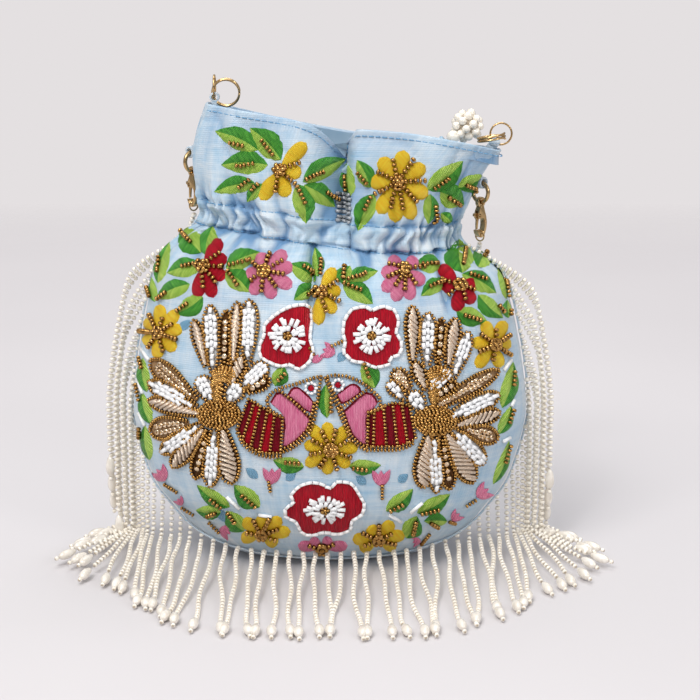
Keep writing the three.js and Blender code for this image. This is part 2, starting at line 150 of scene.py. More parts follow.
def silkPaint(start, place, uv):
    slub = start.cloud(start.scaled(uv, (50, 480, 1)), 1.0, 3.0, 0.65)
    weft = start.wave(uv, 330, 0.6, 1.0, "Y")
    warp = start.wave(uv, 260, 0.4, 1.0, "X")
    mottled = start.cloud(start.scaled(uv, (22, 40, 1)), 1.0, 5.0, 0.6)
    # painted shade: how far the cloth is sunk into a fold or crease
    foldShade = start.node("Attribute", {"attribute_name": "foldShade"}, {}, "Fac")
    streak = start.cloud(start.scaled(uv, (260, 34, 1)), 1.0, 4.0, 0.65)
    slubMottle = (mottled * 0.75 + slub * 0.5 + streak * 0.6).spread(0.72, 1.32)
    colour = foldShade.spread(0.1, 0.95).between(slubMottle.between(silkLook["mid"], silkLook["light"]), silkLook["deep"])
    height = weft * 0.12 + warp * 0.12 + slub * 0.4 + streak * 0.6
    rough = 0.34 + slub * 0.24
    return {"Base_Color": colour, "Roughness": rough, "Normal": start.bump(height, 0.5, 0.0009)}


def plainSilkPaint(start, place, uv):  # the same cloth where there is no cut-out plan, by place
    slub = start.cloud(start.scaled(place, (160, 160, 2600)), 1.0, 3.0, 0.6)
    weft = start.wave(place, 900, 0.5, 1.0, "Z")
    body = slub.spread(0.3, 0.7).between(silkLook["mid"], silkLook["light"])
    height = weft * 0.4 + slub
    return {"Base_Color": body, "Roughness": 0.4 + slub * 0.2, "Normal": start.bump(height, 0.3, 0.0005)}


def liningPaint(start, place, uv):
    twill = start.wave(place, 700, 0.3, 1.0, "DIAGONAL")
    soft = start.cloud(place, 40, 3.0)
    body = soft.spread(0.3, 0.7).between(tone(140, 172, 196), tone(182, 204, 220))
    return {"Base_Color": body, "Roughness": 0.45 + soft * 0.15, "Normal": start.bump(twill, 0.15, 0.0003)}


def pearlPaint(start, place, uv):  # ivory lustre with faint warm and cool patches
    patch = start.cloud(place, 210, 2.0)
    ring = start.cloud(place, 900, 2.0)
    body = patch.spread(0.3, 0.7).between(tone(234, 224, 206), tone(248, 243, 233))
    body = ring.spread(0.62, 0.85).between(body, tone(224, 206, 178))
    endShade = start.node("Attribute", {"attribute_name": "endShade"}, {}, "Fac")
    body = endShade.spread(0.18, 0.9).between(body, tone(150, 131, 104))  # painted shade round the ends, where the pearls meet
    return {"Base_Color": body, "Roughness": 0.1 + ring * 0.1}


def dropPaint(start, place, uv):  # greyer and glassier than the round pearls
    patch = start.cloud(place, 260, 2.0)
    return {"Base_Color": patch.spread(0.3, 0.7).between(tone(212, 203, 190), tone(240, 234, 225)),
            "Roughness": 0.1 + patch * 0.1}


def goldPaint(start, place, uv):  # light gold plate, polished, a little duller in patches
    cloudy = start.cloud(place, 130, 2.0)
    scratch = start.cloud(start.scaled(place, (900, 900, 4200)), 1.0, 2.0)
    body = cloudy.spread(0.3, 0.75).between(tone(216, 186, 136), tone(190, 154, 104))
    rough = 0.17 + cloudy * 0.1
    return {"Base_Color": body, "Roughness": rough, "Normal": start.bump(scratch, 0.02, 0.0001)}


def cordPaint(start, place, uv):
    twist = start.wave(place, 420, 0.0, 0.0, "DIAGONAL")
    # painted shade in the grooves of the twist, lighter on the raised plies
    body = twist.between(tone(120, 168, 202), tone(178, 208, 228))
    return {"Base_Color": body, "Roughness": 0.5 + twist * 0.2, "Normal": start.bump(twist, 0.5, 0.0006)}


silk = finish("silk", silkPaint, Sheen_Weight=0.25, Sheen_Roughness=0.4)
plainSilk = finish("plainSilk", plainSilkPaint, Sheen_Weight=0.2)
lining = finish("lining", liningPaint, Sheen_Weight=0.2)
pearl = finish("pearl", pearlPaint, Coat_Weight=1.0, Coat_Roughness=0.04, Specular_IOR_Level=0.8,
               Emission_Color=(1, 0.96, 0.9, 1), Emission_Strength=0.07)  # painted glow standing in for light passing through the nacre
# painted glow standing in for light passing through, as on the round pearls
dropPearl = finish("dropPearl", dropPaint, Coat_Weight=1.0, Coat_Roughness=0.06, Specular_IOR_Level=0.7,
                   Emission_Color=(1, 0.94, 0.86, 1), Emission_Strength=0.08)
gold = finish("gold", goldPaint, Metallic=1.0)
cordSilk = finish("cordSilk", cordPaint, Sheen_Weight=0.3)
print("cloth, pearl and metal finishes made")


# mesh helpers
def keep(name, bm, material, slot, body="bag"):
    mesh = bpy.data.meshes.new(name)
    bm.to_mesh(mesh)
    bm.free()
    mesh.polygons.foreach_set("use_smooth", [True] * len(mesh.polygons))
    mesh.materials.append(material)
    made = bpy.data.objects.new(name, mesh)
    scene.collection.objects.link(made)
    if body:
        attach(made, body)
    return made


def template(make):  # a small mesh made once and stamped many times
    bm = bmesh.new()
    make(bm)
    mesh = bpy.data.meshes.new("template")
    bm.to_mesh(mesh)
    bm.free()
    return mesh


def stamp(bm, shape, matrix):
    copy = shape.copy()
    copy.transform(matrix)
    bm.from_mesh(copy)
    bpy.data.meshes.remove(copy)


def pour(grid, bm):  # the faces of one bmesh into another
    mesh = bpy.data.meshes.new("poured")
    grid.to_mesh(mesh)
    grid.free()
    bm.from_mesh(mesh)
    bpy.data.meshes.remove(mesh)


def framed(origin, along, upward, size):  # z runs along, x lies close to upward
    z = along.normalized()
    y = z.cross(upward)
    y = y.normalized() if y.length > 1e-9 else z.orthogonal().normalized()
    x = y.cross(z)
    turned = Matrix((x, y, z)).transposed().to_4x4()
    return Matrix.Translation(origin) @ turned @ Matrix.Diagonal((*size, 1))


def walk(points, pitch, start=0.0, stop=None):  # points at an even pitch along a line, with directions
    total = [0.0]
    for a, b in zip(points, points[1:]):
        total.append(total[-1] + (b - a).length)
    stop = total[-1] if stop is None else min(stop, total[-1])
    place, found, k = start, [], 0
    while place <= stop + 1e-9:
        while k < len(total) - 2 and total[k + 1] < place:
            k += 1
        share = (place - total[k]) / max(1e-9, total[k + 1] - total[k])
        found.append((points[k].lerp(points[k + 1], share), (points[k + 1] - points[k]).normalized()))
        place += pitch
    return found


def smoothLine(points, steps):  # rounded run through given points
    ends = [points[0] * 2 - points[1], *points, points[-1] * 2 - points[-2]]
    line = []
    for i in range(1, len(ends) - 2):
        a, b, c, d = ends[i - 1:i + 3]
        for n in range(steps):
            t = n / steps
            line.append(0.5 * (2 * b + (c - a) * t + (2 * a - 5 * b + 4 * c - d) * t * t
                               + (3 * b - a - 3 * c + d) * t ** 3))
    return [*line, points[-1].copy()]


# shape of the bag in millimetres: height, half width, half depth, shift, roll, squareness, pleat depth
bag = {
    "rows": [
        (0, 50, 22, 0, 0, 0, 0), (4, 57, 31, 0, 0, 0, 0), (13, 70, 41, 0, 0, 0, 0), (24, 79, 48, 0, 0, 0, 0),
        (40, 90, 54, 0, 0, 0, 0), (72, 98.5, 58, 0, 0, 0, 0), (97, 96, 55, 0, 0, 0, 0), (123, 91, 49, 0, 0, 0, 0),
        (141, 86, 43, 0, -0.016, 0, 0), (151, 79, 37, 0, -0.043, 0, 0), (157, 71, 32, 0, -0.063, 0, 1),
        (162, 64, 27.2, 0, -0.079, 0, 5), (168, 62.5, 26, 0, -0.079, 0, 7), (174, 64, 27.2, 0, -0.079, 0.25, 9),
        (190.6, 68.4, 23.5, 2.1, -0.112, 0.5, 12), (201.7, 70.6, 21.8, 5.9, -0.134, 0.75, 14.5),
        (213.5, 71.5, 20, 12, -0.157, 1, 17)],
    "seam": [(-31.05, 4), (-22, 12), (-10, 26), (-3, 44), (0, 66), (0, 230)],
    "wide": 197, "deep": 116, "casing": 168, "band": 6, "power": 2.15,  # of the oval that every row follows
    "pleatAt": 10.5, "pleatLeft": 13, "pleatRight": 2.4, "lap": 3.4,  # the fold in the middle of the collar
    "droop": 8.5, "crown": 2.2, "sag": 5, "backDroop": 4.5,
    "columns": 330, "rowsUp": 150, "sideRows": 34, "backColumns": 240, "backRows": 110,
    "liningColumns": 120, "liningRows": 70,
}
topRow = len(bag["rows"]) - 1


def rowAt(t):
    t = min(max(t, 0.0), topRow - 1e-6)
    i = int(t)
    f = t - i
    a, b, c, d = [bag["rows"][min(max(i + n, 0), topRow)] for n in (-1, 0, 1, 2)]
    values = []
    for p, q, r, s in zip(a, b, c, d):
        m0, m1 = (r - p) / 2, (s - q) / 2
        lo, hi = min(0, (r - q) * 3), max(0, (r - q) * 3)
        m0, m1 = min(max(m0, lo), hi), min(max(m1, lo), hi)  # no overshoot between two rows
        f2, f3 = f * f, f * f * f
        values.append((2 * f3 - 3 * f2 + 1) * q + (f3 - 2 * f2 + f) * m0 + (3 * f2 - 2 * f3) * r + (f3 - f2) * m1)
    return values


def wobble(a, b=0.0, c=0.0):
    return noise.noise(Vector((a, b, c)))


# gathers: height of the puffs, their pitch round the bag, swells above and below, pressed and stitched depth
gathers = {"puff": 9.6, "fine": 6.2, "broad": 13.5, "collarSwell": 2.6, "bellySwell": 1.4,
           "pressed": 1.2, "stitched": 1.9, "radius": 52}
# sunk folds under the casing: where across, top, foot, depth, width, slant
creases = [(-7.6, 163, 96, 6.2, 2.0, -1.4), (52, 163, 110, 4.4, 2.4, 9), (18, 163, 128, 2.2, 3.4, -3),
           (-38, 163, 128, 1.8, 3.5, 3), (-62, 160, 132, 1.6, 3.2, -4), (34, 163, 134, 1.8, 3.0, 4)]


def foldOut(z, angle, x, front):  # how far the cloth stands out or draws in, in millimetres
    along = angle * gathers["radius"]
    dz = z - bag["casing"] - 1.6 * wobble(along / 30, 21.0)
    out = 0.0
    edge = abs(dz) - bag["band"]
    wander = 0.5 * wobble(dz / 6, along / 9)
    fine = gathers["puff"] * abs(wobble(along / gathers["fine"] + wander, 2.0, dz / 17)) - 2.4  # sharp valleys
    broad = gathers["puff"] * abs(wobble(along / gathers["broad"], 5.0, dz / 40)) - 2.3
    fine *= 0.8 + 1.1 * wobble(along / 17, 31.0)
    if edge < 0:
        out += 0.95 * fine + 0.9 + 0.75 * broad
    elif dz > 0:
        out += 0.8 * fine * math.exp(-edge / 4) + 0.9 * broad * math.exp(-edge / 12)
        out += gathers["collarSwell"] * wobble(along / 26, 9.0, dz / 45) * min(1, edge / 15)
        ridge = max(0, 1 - abs(3.4 * wobble(along / 21 + dz / 34, 41.0, dz / 38 - along / 60)))
        out -= gathers["pressed"] * ridge ** 2 * min(1, edge / 6) * min(1, (50 - dz) / 14)  # across the collar
    else:
        out += 0.8 * fine * math.exp(-edge / 5) + 1.1 * broad * math.exp(-edge / 15)
        out += gathers["bellySwell"] * wobble(along / 20, 12.0, z / 90) * math.exp(-((edge - 20) / 22) ** 2)
    out -= gathers["stitched"] * math.exp(-(edge / 1.1) ** 2)
    if front:
        for at, top, low, deep, wide, slant in creases:
            k = (top - z) / (top - low)
            if 0 < k < 1:
                here = at + slant * k
                fade = math.sin(math.pi * min(1, k * 1.2 + 0.18)) ** 0.8
                out -= deep * fade * math.exp(-((x - here) / wide) ** 2)
                out += deep * 0.35 * fade * math.exp(-((x - here - 2.6 * wide) / (2 * wide)) ** 2)
    return out


def bagPoint(t, angle, inset=0.0, lift=0.0, folds=True):
    z, a, b, shift, roll, square, deep = rowAt(t)
    power = 2 / (bag["power"] + 0.9 * square)
    c, s = math.cos(angle), math.sin(angle)
    x = a * math.copysign(abs(c) ** power, c)
    y = b * math.copysign(abs(s) ** power, s)
    front = s < -1e-9
    outX, outY = x / (a * a), y / (b * b)
    size = math.hypot(outX, outY)
    out = (foldOut(z, angle, x + shift, front) if folds else 0.0) - inset
    up = -bag["sag"] * math.exp(-((x - 22) / 42) ** 2) * math.exp(-((z - 166) / 17) ** 2) if front else 0.0
    px, py = x + shift + outX / size * out, y + outY / size * out
    if not front and square:
        up -= bag["backDroop"] * square ** 1.5 * max(0, 1 - (x / a) ** 2)
    if front and deep:
        away = x + shift - bag["pleatAt"]
        wide = bag["pleatLeft"] if away < 0 else bag["pleatRight"]
        share = math.exp(-(away / wide) ** 2) * min(1, -s * 2)
        py += deep * 1.15 * share
        if away > 0:  # the right half of the collar laps over the fold
            px -= bag["lap"] * min(1, deep / 12) * math.exp(-((away - 2.6) / 3.6) ** 2)
        # painted shade only: the pleat valley takes more of the deep fold colour; the point is already placed
        out -= 2.6 * share * deep / 17
        rise = max(0, (z - 176) / 37.5)
        dip = math.exp(-(away / 15) ** 2) + math.exp(-(away / 9) ** 2) if away < 0 else share * 1.2
        up -= bag["droop"] * rise ** 1.5 * dip * min(1, -s * 2)
        if away > 0:
            up += bag["crown"] * rise * math.sin(math.pi * min(1, away / 72)) * min(1, -s * 2)
    return Vector((px, py, z + up + lift + roll * x)), out


def seamDepth(z):
    for (y0, z0), (y1, z1) in zip(bag["seam"], bag["seam"][1:]):
        if z <= z1:
            return y0 + (y1 - y0) * max(0, (z - z0) / (z1 - z0))
    return 0.0


def seamRow(angle):  # row at which a column of the front panel meets the seam
    low, high = 1.0, 5.0
    for _ in range(30):
        middle = (low + high) / 2
        p, _ = bagPoint(middle, angle, 0, 0, False)
        low, high = (middle, high) if p.y > seamDepth(p.z) else (low, middle)
    return (low + high) / 2


hem = [(0.35, 0.35), (0.9, 0.45), (1.3, 0.0), (1.5, -2.0), (1.6, -7.0)]  # inset and lift where the edge turns in


def clothGrid(bm, angleFrom, angleTo, columns, rowList, hemmed):
    grid = bmesh.new()
    uvLayer = grid.loops.layers.uv.new("UVMap")
    foldShadeLayer = grid.verts.layers.float.new("foldShade")
    rows = len(rowList(angleFrom)) + (len(hem) if hemmed else 0)
    bmesh.ops.create_grid(grid, x_segments=columns, y_segments=rows - 1, size=0.5)
    angles = [angleFrom + (angleTo - angleFrom) * i / columns for i in range(columns + 1)]
    lines = [rowList(angle) for angle in angles]
    plan = {}
    for v in grid.verts:
        i, j = round((v.co.x + 0.5) * columns), round((v.co.y + 0.5) * (rows - 1))
        angle, line = angles[i], lines[i]
        inset, lift = (0.0, 0.0) if j < len(line) else hem[j - len(line)]
        t = line[min(j, len(line) - 1)]
        p, out = bagPoint(t, angle, inset, lift)
        # painted shade: where the cloth sinks into gathers and creases it takes the deep colour, more strongly on
        # the casing
        gathered = 0.34 if 9.5 < t < 13.4 else 0.24
        v[foldShadeLayer] = min(0.8, max(0, 0.1 - out * gathered)) if t > 7.5 else min(0.95, max(0, -out * 0.22))
        plan[v] = (angle * 0.06, p.z * mm + max(0, j - len(line)) * 0.004)
        v.co = p * mm
    for face in grid.faces:
        for loop in face.loops:
            loop[uvLayer].uv = plan[loop.vert]
    pour(grid, bm)


def span(a, b, n):
    return [a + (b - a) * k / n for k in range(n + 1)]


sideRow = seamRow(math.pi)
bm = bmesh.new()
clothGrid(bm, math.pi, 2 * math.pi, bag["columns"],
          lambda angle: span(seamRow(angle), topRow, bag["rowsUp"]), True)
bmesh.ops.recalc_face_normals(bm, faces=bm.faces)
frontPanel = keep("frontPanel", bm, silk, "silk")
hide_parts("front_panel")

bm = bmesh.new()
low = bag["sideRows"]
clothGrid(bm, 0, math.pi, bag["backColumns"],
          lambda angle: span(0, sideRow, low) + span(sideRow, topRow, bag["backRows"])[1:], True)
clothGrid(bm, math.pi, 2 * math.pi, bag["backColumns"], lambda angle: span(0, seamRow(angle), low), False)
bmesh.ops.remove_doubles(bm, verts=bm.verts, dist=0.00002)
rim = [e for e in bm.edges if e.is_boundary and max(v.co.z for v in e.verts) < 0.0005]
bmesh.ops.contextual_create(bm, geom=rim)
bmesh.ops.recalc_face_normals(bm, faces=bm.faces)
backPanel = keep("backPanel", bm, silk, "silk")
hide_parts("back_panel")

bm = bmesh.new()
bmesh.ops.create_grid(bm, x_segments=bag["liningColumns"], y_segments=bag["liningRows"], size=0.5)
for v in bm.verts:
    t = (v.co.y + 0.5) * topRow
    away = 2.6 if t > 13 else (3.4 if t > 8 else 2.4)
    p, _ = bagPoint(t, (v.co.x + 0.5) * 2 * math.pi, away, 1.6 if t < 0.5 else -0.6, t > 8)
    v.co = p * mm
bmesh.ops.remove_doubles(bm, verts=bm.verts, dist=0.00002)
rim = [e for e in bm.edges if e.is_boundary and max(v.co.z for v in e.verts) < 0.004]
bmesh.ops.contextual_create(bm, geom=rim)
bmesh.ops.recalc_face_normals(bm, faces=bm.faces)
bmesh.ops.reverse_faces(bm, faces=bm.faces)
liningCloth = keep("liningCloth", bm, lining, "lining")
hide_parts("lining")
print("panels and lining cut, gathered and hemmed")


# pearls
pearls = {"size": 2.6, "long": 0.86, "pitch": 2.95, "strands": 64, "length": 148, "middleLength": 98,
          "dropLength": 10.5, "dropWidth": 4.6, "seamTop": 164, "sway": 0.8, "ripple": 0.5, "bend": 0.09,
          "rise": 9.6, "slope": 0.12, "piping": 1.1, "pipingPitch": 2.0}


def shadedBall(b, around, along, dark):  # ball whose points carry how much painted shade they take, by their height
    endShade = b.verts.layers.float.new("endShade")
    bmesh.ops.create_uvsphere(b, u_segments=around, v_segments=along, radius=0.5)
    for v in b.verts:
        v[endShade] = dark(v.co.z)


endShadedBall = template(lambda b: shadedBall(b, 8, 6, lambda z: (2 * abs(z)) ** 3))  # painted shade round its two ends, where it meets the next bead
pearlDrop = template(lambda b: bmesh.ops.create_uvsphere(b, u_segments=12, v_segments=9, radius=0.5))
for v in pearlDrop.vertices:  # fuller towards its lower end
    v.co.xy *= 1 - 0.28 * v.co.z - 0.25 * max(0, v.co.z) ** 2


def seamPoint(z, side):
    low, high = 0.0, float(topRow)
    for _ in range(30):
        middle = (low + high) / 2
        low, high = (middle, high) if rowAt(middle)[0] < z else (low, middle)
    _, a, b, _, roll, _, _ = rowAt(low)
    y = seamDepth(z)
    x = side * a * max(0, 1 - (abs(y) / b) ** bag["power"]) ** (1 / bag["power"])
    return Vector((x, y, z + roll * x))


def outwards(p):
    return Vector((p.x / bag["wide"] ** 2, p.y / bag["deep"] ** 2, 0)).normalized()


seamRun = []
for i in range(-60, 61):
    share = abs(i) / 60
    p = seamPoint(4 + (pearls["seamTop"] - 4) * share ** 1.6, 1 if i >= 0 else -1)
    seamRun.append(p + outwards(p) * 1.4)
seamLength = sum((b - a).length for a, b in zip(seamRun, seamRun[1:]))


def strandShare(i):  # place along the seam from -1 to 1, set closer under the bag
    s = 2 * (i + 0.5) / pearls["strands"] - 1
    return s * (0.8 + 0.2 * abs(s))


def strandLine(i):
    count = pearls["strands"]
    s = strandShare(i)
    start = walk(seamRun, seamLength, (s + 1) / 2 * seamLength)[0][0]
    side = 1 if s > 0 else -1
    fromTop = min(i, count - 1 - i)
    line = [start.copy()]
    out = 2.2 + 3.5 * max(0, 3 - fromTop // 3)
    high = start.z > 72
    depth = start.y + 4.4 * (fromTop % 3 - 1) if high else start.y - 1
    z = start.z - 5
    while z > 7:
        under = seamPoint(min(pearls["seamTop"], max(z, 72)), side)
        wide = abs(under.x) + out if high else abs(start.x) + 1
        k = min(1, (start.z - z) / 30)
        soft = 1 - (1 - min(1, (start.z - z) / 26)) ** 2
        x = abs(start.x) + (max(wide, abs(start.x)) - abs(start.x)) * soft
        line.append(Vector((side * x, start.y + (depth - start.y) * k, z)))
        z -= 6
    foot = line[-1]
    aim = side * min(0.85, 1.3 * (max(0, abs(s) - 0.42) / 0.3) ** 2)
    bend = rng.uniform(-pearls["bend"], pearls["bend"])
    run = 5
    while run < pearls["length"] + 30:
        sway = pearls["sway"] * math.sin(run / 15 + i * 1.7) + pearls["ripple"] * math.sin(run / 7.5 + i * 2.9)
        sway *= min(1, run / 20)
        turned = aim + bend * run / 150
        lowered = max(1.4, pearls["rise"] - run * pearls["slope"])  # slopes down to the floor
        line.append(Vector((foot.x + math.sin(turned) * run + math.cos(aim) * sway,
                            foot.y - math.cos(turned) * run + math.sin(aim) * sway, lowered)))
        run += 6
    return line


def strandLong(i):  # strands from under the bag show a shorter run than those from its sides
    share = min(1, max(0, (abs(strandShare(i)) - 0.28) / 0.55)) ** 1.15
    return pearls["middleLength"] + (pearls["length"] - pearls["middleLength"]) * share


def stringStrand(bm, drops, line, length):
    size = pearls["size"]
    body = length - pearls["dropLength"] - size
    for p, along in walk(line, pearls["pitch"], size / 2, body - size / 2):
        grown = size * rng.uniform(0.94, 1.04)
        p.z = max(p.z, grown / 2)
        wide = grown * mm
        stamp(bm, endShadedBall, framed(p * mm, along, zenith, (wide, wide, wide * pearls["long"])))
    p, along = walk(line, length, body + pearls["dropLength"] / 2)[0]
    p.z = max(p.z, pearls["dropWidth"] / 2)
    wide = pearls["dropWidth"] * mm
    stamp(drops, pearlDrop, framed(p * mm, -along, zenith, (wide, wide, pearls["dropLength"] * mm)))
    p, along = walk(line, length, length - size / 2)[0]
    p.z = max(p.z, size * 0.45)
    stamp(bm, endShadedBall, framed(p * mm, along, zenith, [size * 0.9 * mm] * 3))


drops = bmesh.new()
half = pearls["strands"] // 2
for name, picks in (("fringeLeft", range(half)), ("fringeRight", range(half, 2 * half))):
    bm = bmesh.new()
    for i in picks:
        stringStrand(bm, drops, smoothLine(strandLine(i), 2), strandLong(i) + rng.uniform(-2, 1))
    keep(name, bm, pearl, "pearl")
keep("fringeDrops", drops, dropPearl, "pearl")
bm = bmesh.new()
pipeRing = template(lambda b: bmesh.ops.create_cone(
    b, cap_ends=False, segments=6, radius1=0.5, radius2=0.5, depth=1.06))
pipeSize = (pearls["piping"] * mm, pearls["piping"] * mm, pearls["pipingPitch"] * mm)
for p, along in walk(seamRun, pearls["pipingPitch"]):
    stamp(bm, pipeRing, framed(p * mm, along, Vector((0, -1, 0.3)), pipeSize))
keep("seamPiping", bm, plainSilk, "silk")
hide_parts("pearl_fringe")
print("fringe strung")


# pearl hand strap behind the bag, in two halves
strap = {"points": [
    (74.7, 9, 154.9), (74.5, 14.5, 151), (72.5, 22, 147), (67, 32, 139.5), (62, 41, 122), (54, 50, 97),
    (44, 56.5, 72), (30, 60.5, 54), (15, 61.3, 45), (0, 61.5, 42), (-15, 61.3, 45), (-30, 60.5, 54),
    (-44, 56.5, 72), (-54, 50, 97), (-62, 41, 123), (-67, 32.5, 142), (-71, 22, 154), (-69.5, 14.5, 163.5),
    (-67.2, 10, 169.9)], "pearl": 2.95}
strapLine = smoothLine([Vector(p) for p in strap["points"]], 6)
middle = len(strapLine) // 2
strapHalves = {"right": strapLine[:middle + 1], "left": strapLine[middle:][::-1]}
for side, line in strapHalves.items():
    bm = bmesh.new()
    for p, along in walk(line, strap["pearl"], strap["pearl"] / 2):
        wide = strap["pearl"] * mm
        stamp(bm, endShadedBall, framed(p * mm, along, Vector((0, 1, 0)), (wide, wide, wide * pearls["long"])))
    made = keep("strap" + side.title(), bm, pearl, "pearl", None)
    "clasp_" + side
    line[len(line) * 2 // 5] * mm
    line[0] * mm
    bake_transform(made)
    length = sum((b - a).length for a, b in zip(line, line[1:])) * mm
    line[0] * mm
    [p * mm for p in line]
    if side == "left":
        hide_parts("pearl_strap")
print("strap hung")


# drawstring end: out of the casing at the back, over the edge, to its pearl toggle in the mouth
draw = {"thick": 2.4, "exitAngle": 1.08, "toggle": (60.3, 3.25, 208.05), "toggleSize": 6.5}
off = -(draw["thick"] / 2 + 0.9)
route = [(12, 1.4, 0), (12, off - 0.6, 1.0), (13, off - 1.2, 0), (14, off - 1.0, 0), (15, off - 0.4, 0),
         (topRow, off, -1), (topRow, 0.8, 2.0), (topRow, 3.6, 1.7), (topRow, 6.5, -1.2)]
cordPoints = [bagPoint(t, draw["exitAngle"], inset, lift, False)[0] for t, inset, lift in route]
toggleAt = Vector(draw["toggle"])
cordPoints.append(toggleAt + (cordPoints[-1] - toggleAt).normalized() * draw["toggleSize"] * 0.45)
curve = bpy.data.curves.new("drawstringEnd", "CURVE")
curve.dimensions = "3D"
curve.bevel_depth = draw["thick"] / 2 * mm
curve.bevel_resolution = 4
curve.use_fill_caps = True
spline = curve.splines.new("POLY")
cordLine = smoothLine(cordPoints, 5)
spline.points.add(len(cordLine) - 1)
for place, p in zip(spline.points, cordLine):
    place.co = (*(p * mm), 1)
curve.materials.append(cordSilk)
drawstring = bpy.data.objects.new("drawstringEnd", curve)
scene.collection.objects.link(drawstring)
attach(drawstring, "bag")
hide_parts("drawstring")

bm = bmesh.new()  # toggle pearl with its drilled ends
bmesh.ops.create_uvsphere(bm, u_segments=28, v_segments=18, radius=draw["toggleSize"] / 2 * mm)
poles = [v for v in bm.verts if abs(v.co.z) > draw["toggleSize"] * 0.499 * mm]
for v in poles:
    v.co.z *= 0.86
alongCord = (cordPoints[-1] - toggleAt).normalized()
bmesh.ops.transform(bm, verts=bm.verts, matrix=framed(toggleAt * mm, alongCord, zenith, (1, 1, 1)))
togglePearl = keep("togglePearl", bm, pearl, "pearl")
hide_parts("toggle_pearl")

cluster = {"centre": (67.5, 10, 213), "size": 17, "pearl": 4.2, "count": 26, "core": 1.75}
bm = bmesh.new()
ball = (cluster["size"] - cluster["pearl"]) / 2
clusterAt = Vector(cluster["centre"])
clusterBead = template(lambda b: shadedBall(b, 16, 11, lambda z: 0.0))
clusterCore = template(lambda b: shadedBall(b, 16, 11, lambda z: 1.0))  # thread and knots, given the full painted shade of the pearl ends, so the gaps between the pearls read dark
for i in range(cluster["count"]):
    up = 1 - 2 * (i + 0.5) / cluster["count"]
    spin = i * math.pi * (3 - math.sqrt(5))
    flat = math.sqrt(1 - up * up)
    way = Vector((flat * math.cos(spin), flat * math.sin(spin), up))
    p = clusterAt + way * ball * rng.uniform(0.94, 1.04)
    wide = cluster["pearl"] * rng.uniform(0.94, 1.06) * mm
    stamp(bm, clusterBead, framed(p * mm, way, zenith, [wide] * 3))
stamp(bm, clusterCore, framed(clusterAt * mm, zenith, Vector((1, 0, 0)), [ball * cluster["core"] * mm] * 3))
pearlCluster = keep("pearlCluster", bm, pearl, "pearl")
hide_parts("pearl_cluster")
cordLong = sum((b - a).length for a, b in zip(cordLine, cordLine[1:])) * mm
cordLine[0] * mm
print("drawstring and toggle made")


# embroidery: motifs are set out in picture pixels and carried by the bag's own surface
ground = bmesh.new()
ground.from_mesh(frontPanel.data)
ground.from_mesh(backPanel.data)
groundTree = BVHTree.FromBMesh(ground)
ground.free()
eye = Vector(shot["eye"])
bagMiddle = Vector((330, 380))
centrePx = shot["size"] / 2


def onBag(px, lift=0.0):  # point on the silk seen at a pixel, raised by lift millimetres
    place = Vector(px)
    for _ in range(40):
        ray = Vector(((place.x - centrePx) / shot["focalPx"], (centrePx - place.y) / shot["focalPx"], -1))
        way = turn.to_3x3() @ ray
        hit, normal, _, _ = groundTree.ray_cast(eye, way.normalized())
        if hit:
            normal = -normal if normal.dot(way) > 0 else normal
            return hit + normal * lift * mm, normal
        place += (bagMiddle - place).normalized()
    return Vector((0, 0, 0)), Vector((0, -1, 0))


def dense(points, step=1.5):
    line = [Vector(p) for p in points]
    rich = [line[0]]
    for a, b in zip(line, line[1:]):
        count = max(1, round((b - a).length / step))
        rich += [a.lerp(b, k / count) for k in range(1, count + 1)]
    return rich


def threadPaint(light, dark):  # satin stitch: fine parallel threads with a silky sheen
    def paint(start, place, uv):
        strand = start.wave(uv, 0.19, 1.6, 2.0, "X")
        tint = start.cloud(start.scaled(uv, (0.42, 0.05, 1)), 1.0, 3.0, 0.7)
        shade = (strand * 0.25 + tint * 1.2).spread(0.48, 0.98)
        return {"Base_Color": shade.between(dark, light), "Roughness": 0.34 + strand * 0.2,
                "Normal": start.bump(strand, 0.8, 0.0009)}
    return paint


def shinePaint(low, high, rough, scale=520, gap=tone(48, 28, 10)):  # gap is the painted shade colour at a bead's ends, where beads meet
    def paint(start, place, uv):
        patch = start.cloud(place, scale, 2.0)
        endShade = start.node("Attribute", {"attribute_name": "endShade"}, {}, "Fac")
        body = endShade.spread(0.2, 0.9).between(patch.spread(0.32, 0.68).between(low, high), gap)
        return {"Base_Color": body, "Roughness": rough + patch * 0.12}
    return paint


def wirePaint(start, place, uv):  # coiled wire, with painted highlight on each turn and painted shade between the turns
    coil = start.wave(place, 1500, 0.0, 0.0, "DIAGONAL")
    body = coil.between(tone(214, 182, 150), tone(255, 242, 226))
    return {"Base_Color": body, "Roughness": 0.25 + coil * 0.15, "Normal": start.bump(coil, 0.5, 0.0004)}


threads = {
    "leafLight": (tone(204, 232, 110), tone(128, 184, 58)), "leafDark": (tone(102, 188, 70), tone(30, 118, 38)),
    "yellow": (tone(255, 230, 70), tone(250, 190, 18)), "red": (tone(218, 14, 44), tone(150, 4, 28)),
    "darkRed": (tone(156, 16, 40), tone(98, 4, 22)), "pink": (tone(252, 162, 192), tone(222, 96, 144)),
    "tan": (tone(206, 168, 124), tone(146, 108, 70)), "brown": (tone(122, 80, 38), tone(66, 40, 18)),
    "cream": (tone(244, 244, 242), tone(206, 206, 208)), "paleBlue": (tone(150, 196, 224), tone(118, 172, 208))}
satin = {name: bmesh.new() for name in threads}
for grid in satin.values():
    grid.loops.layers.uv.new("UVMap")


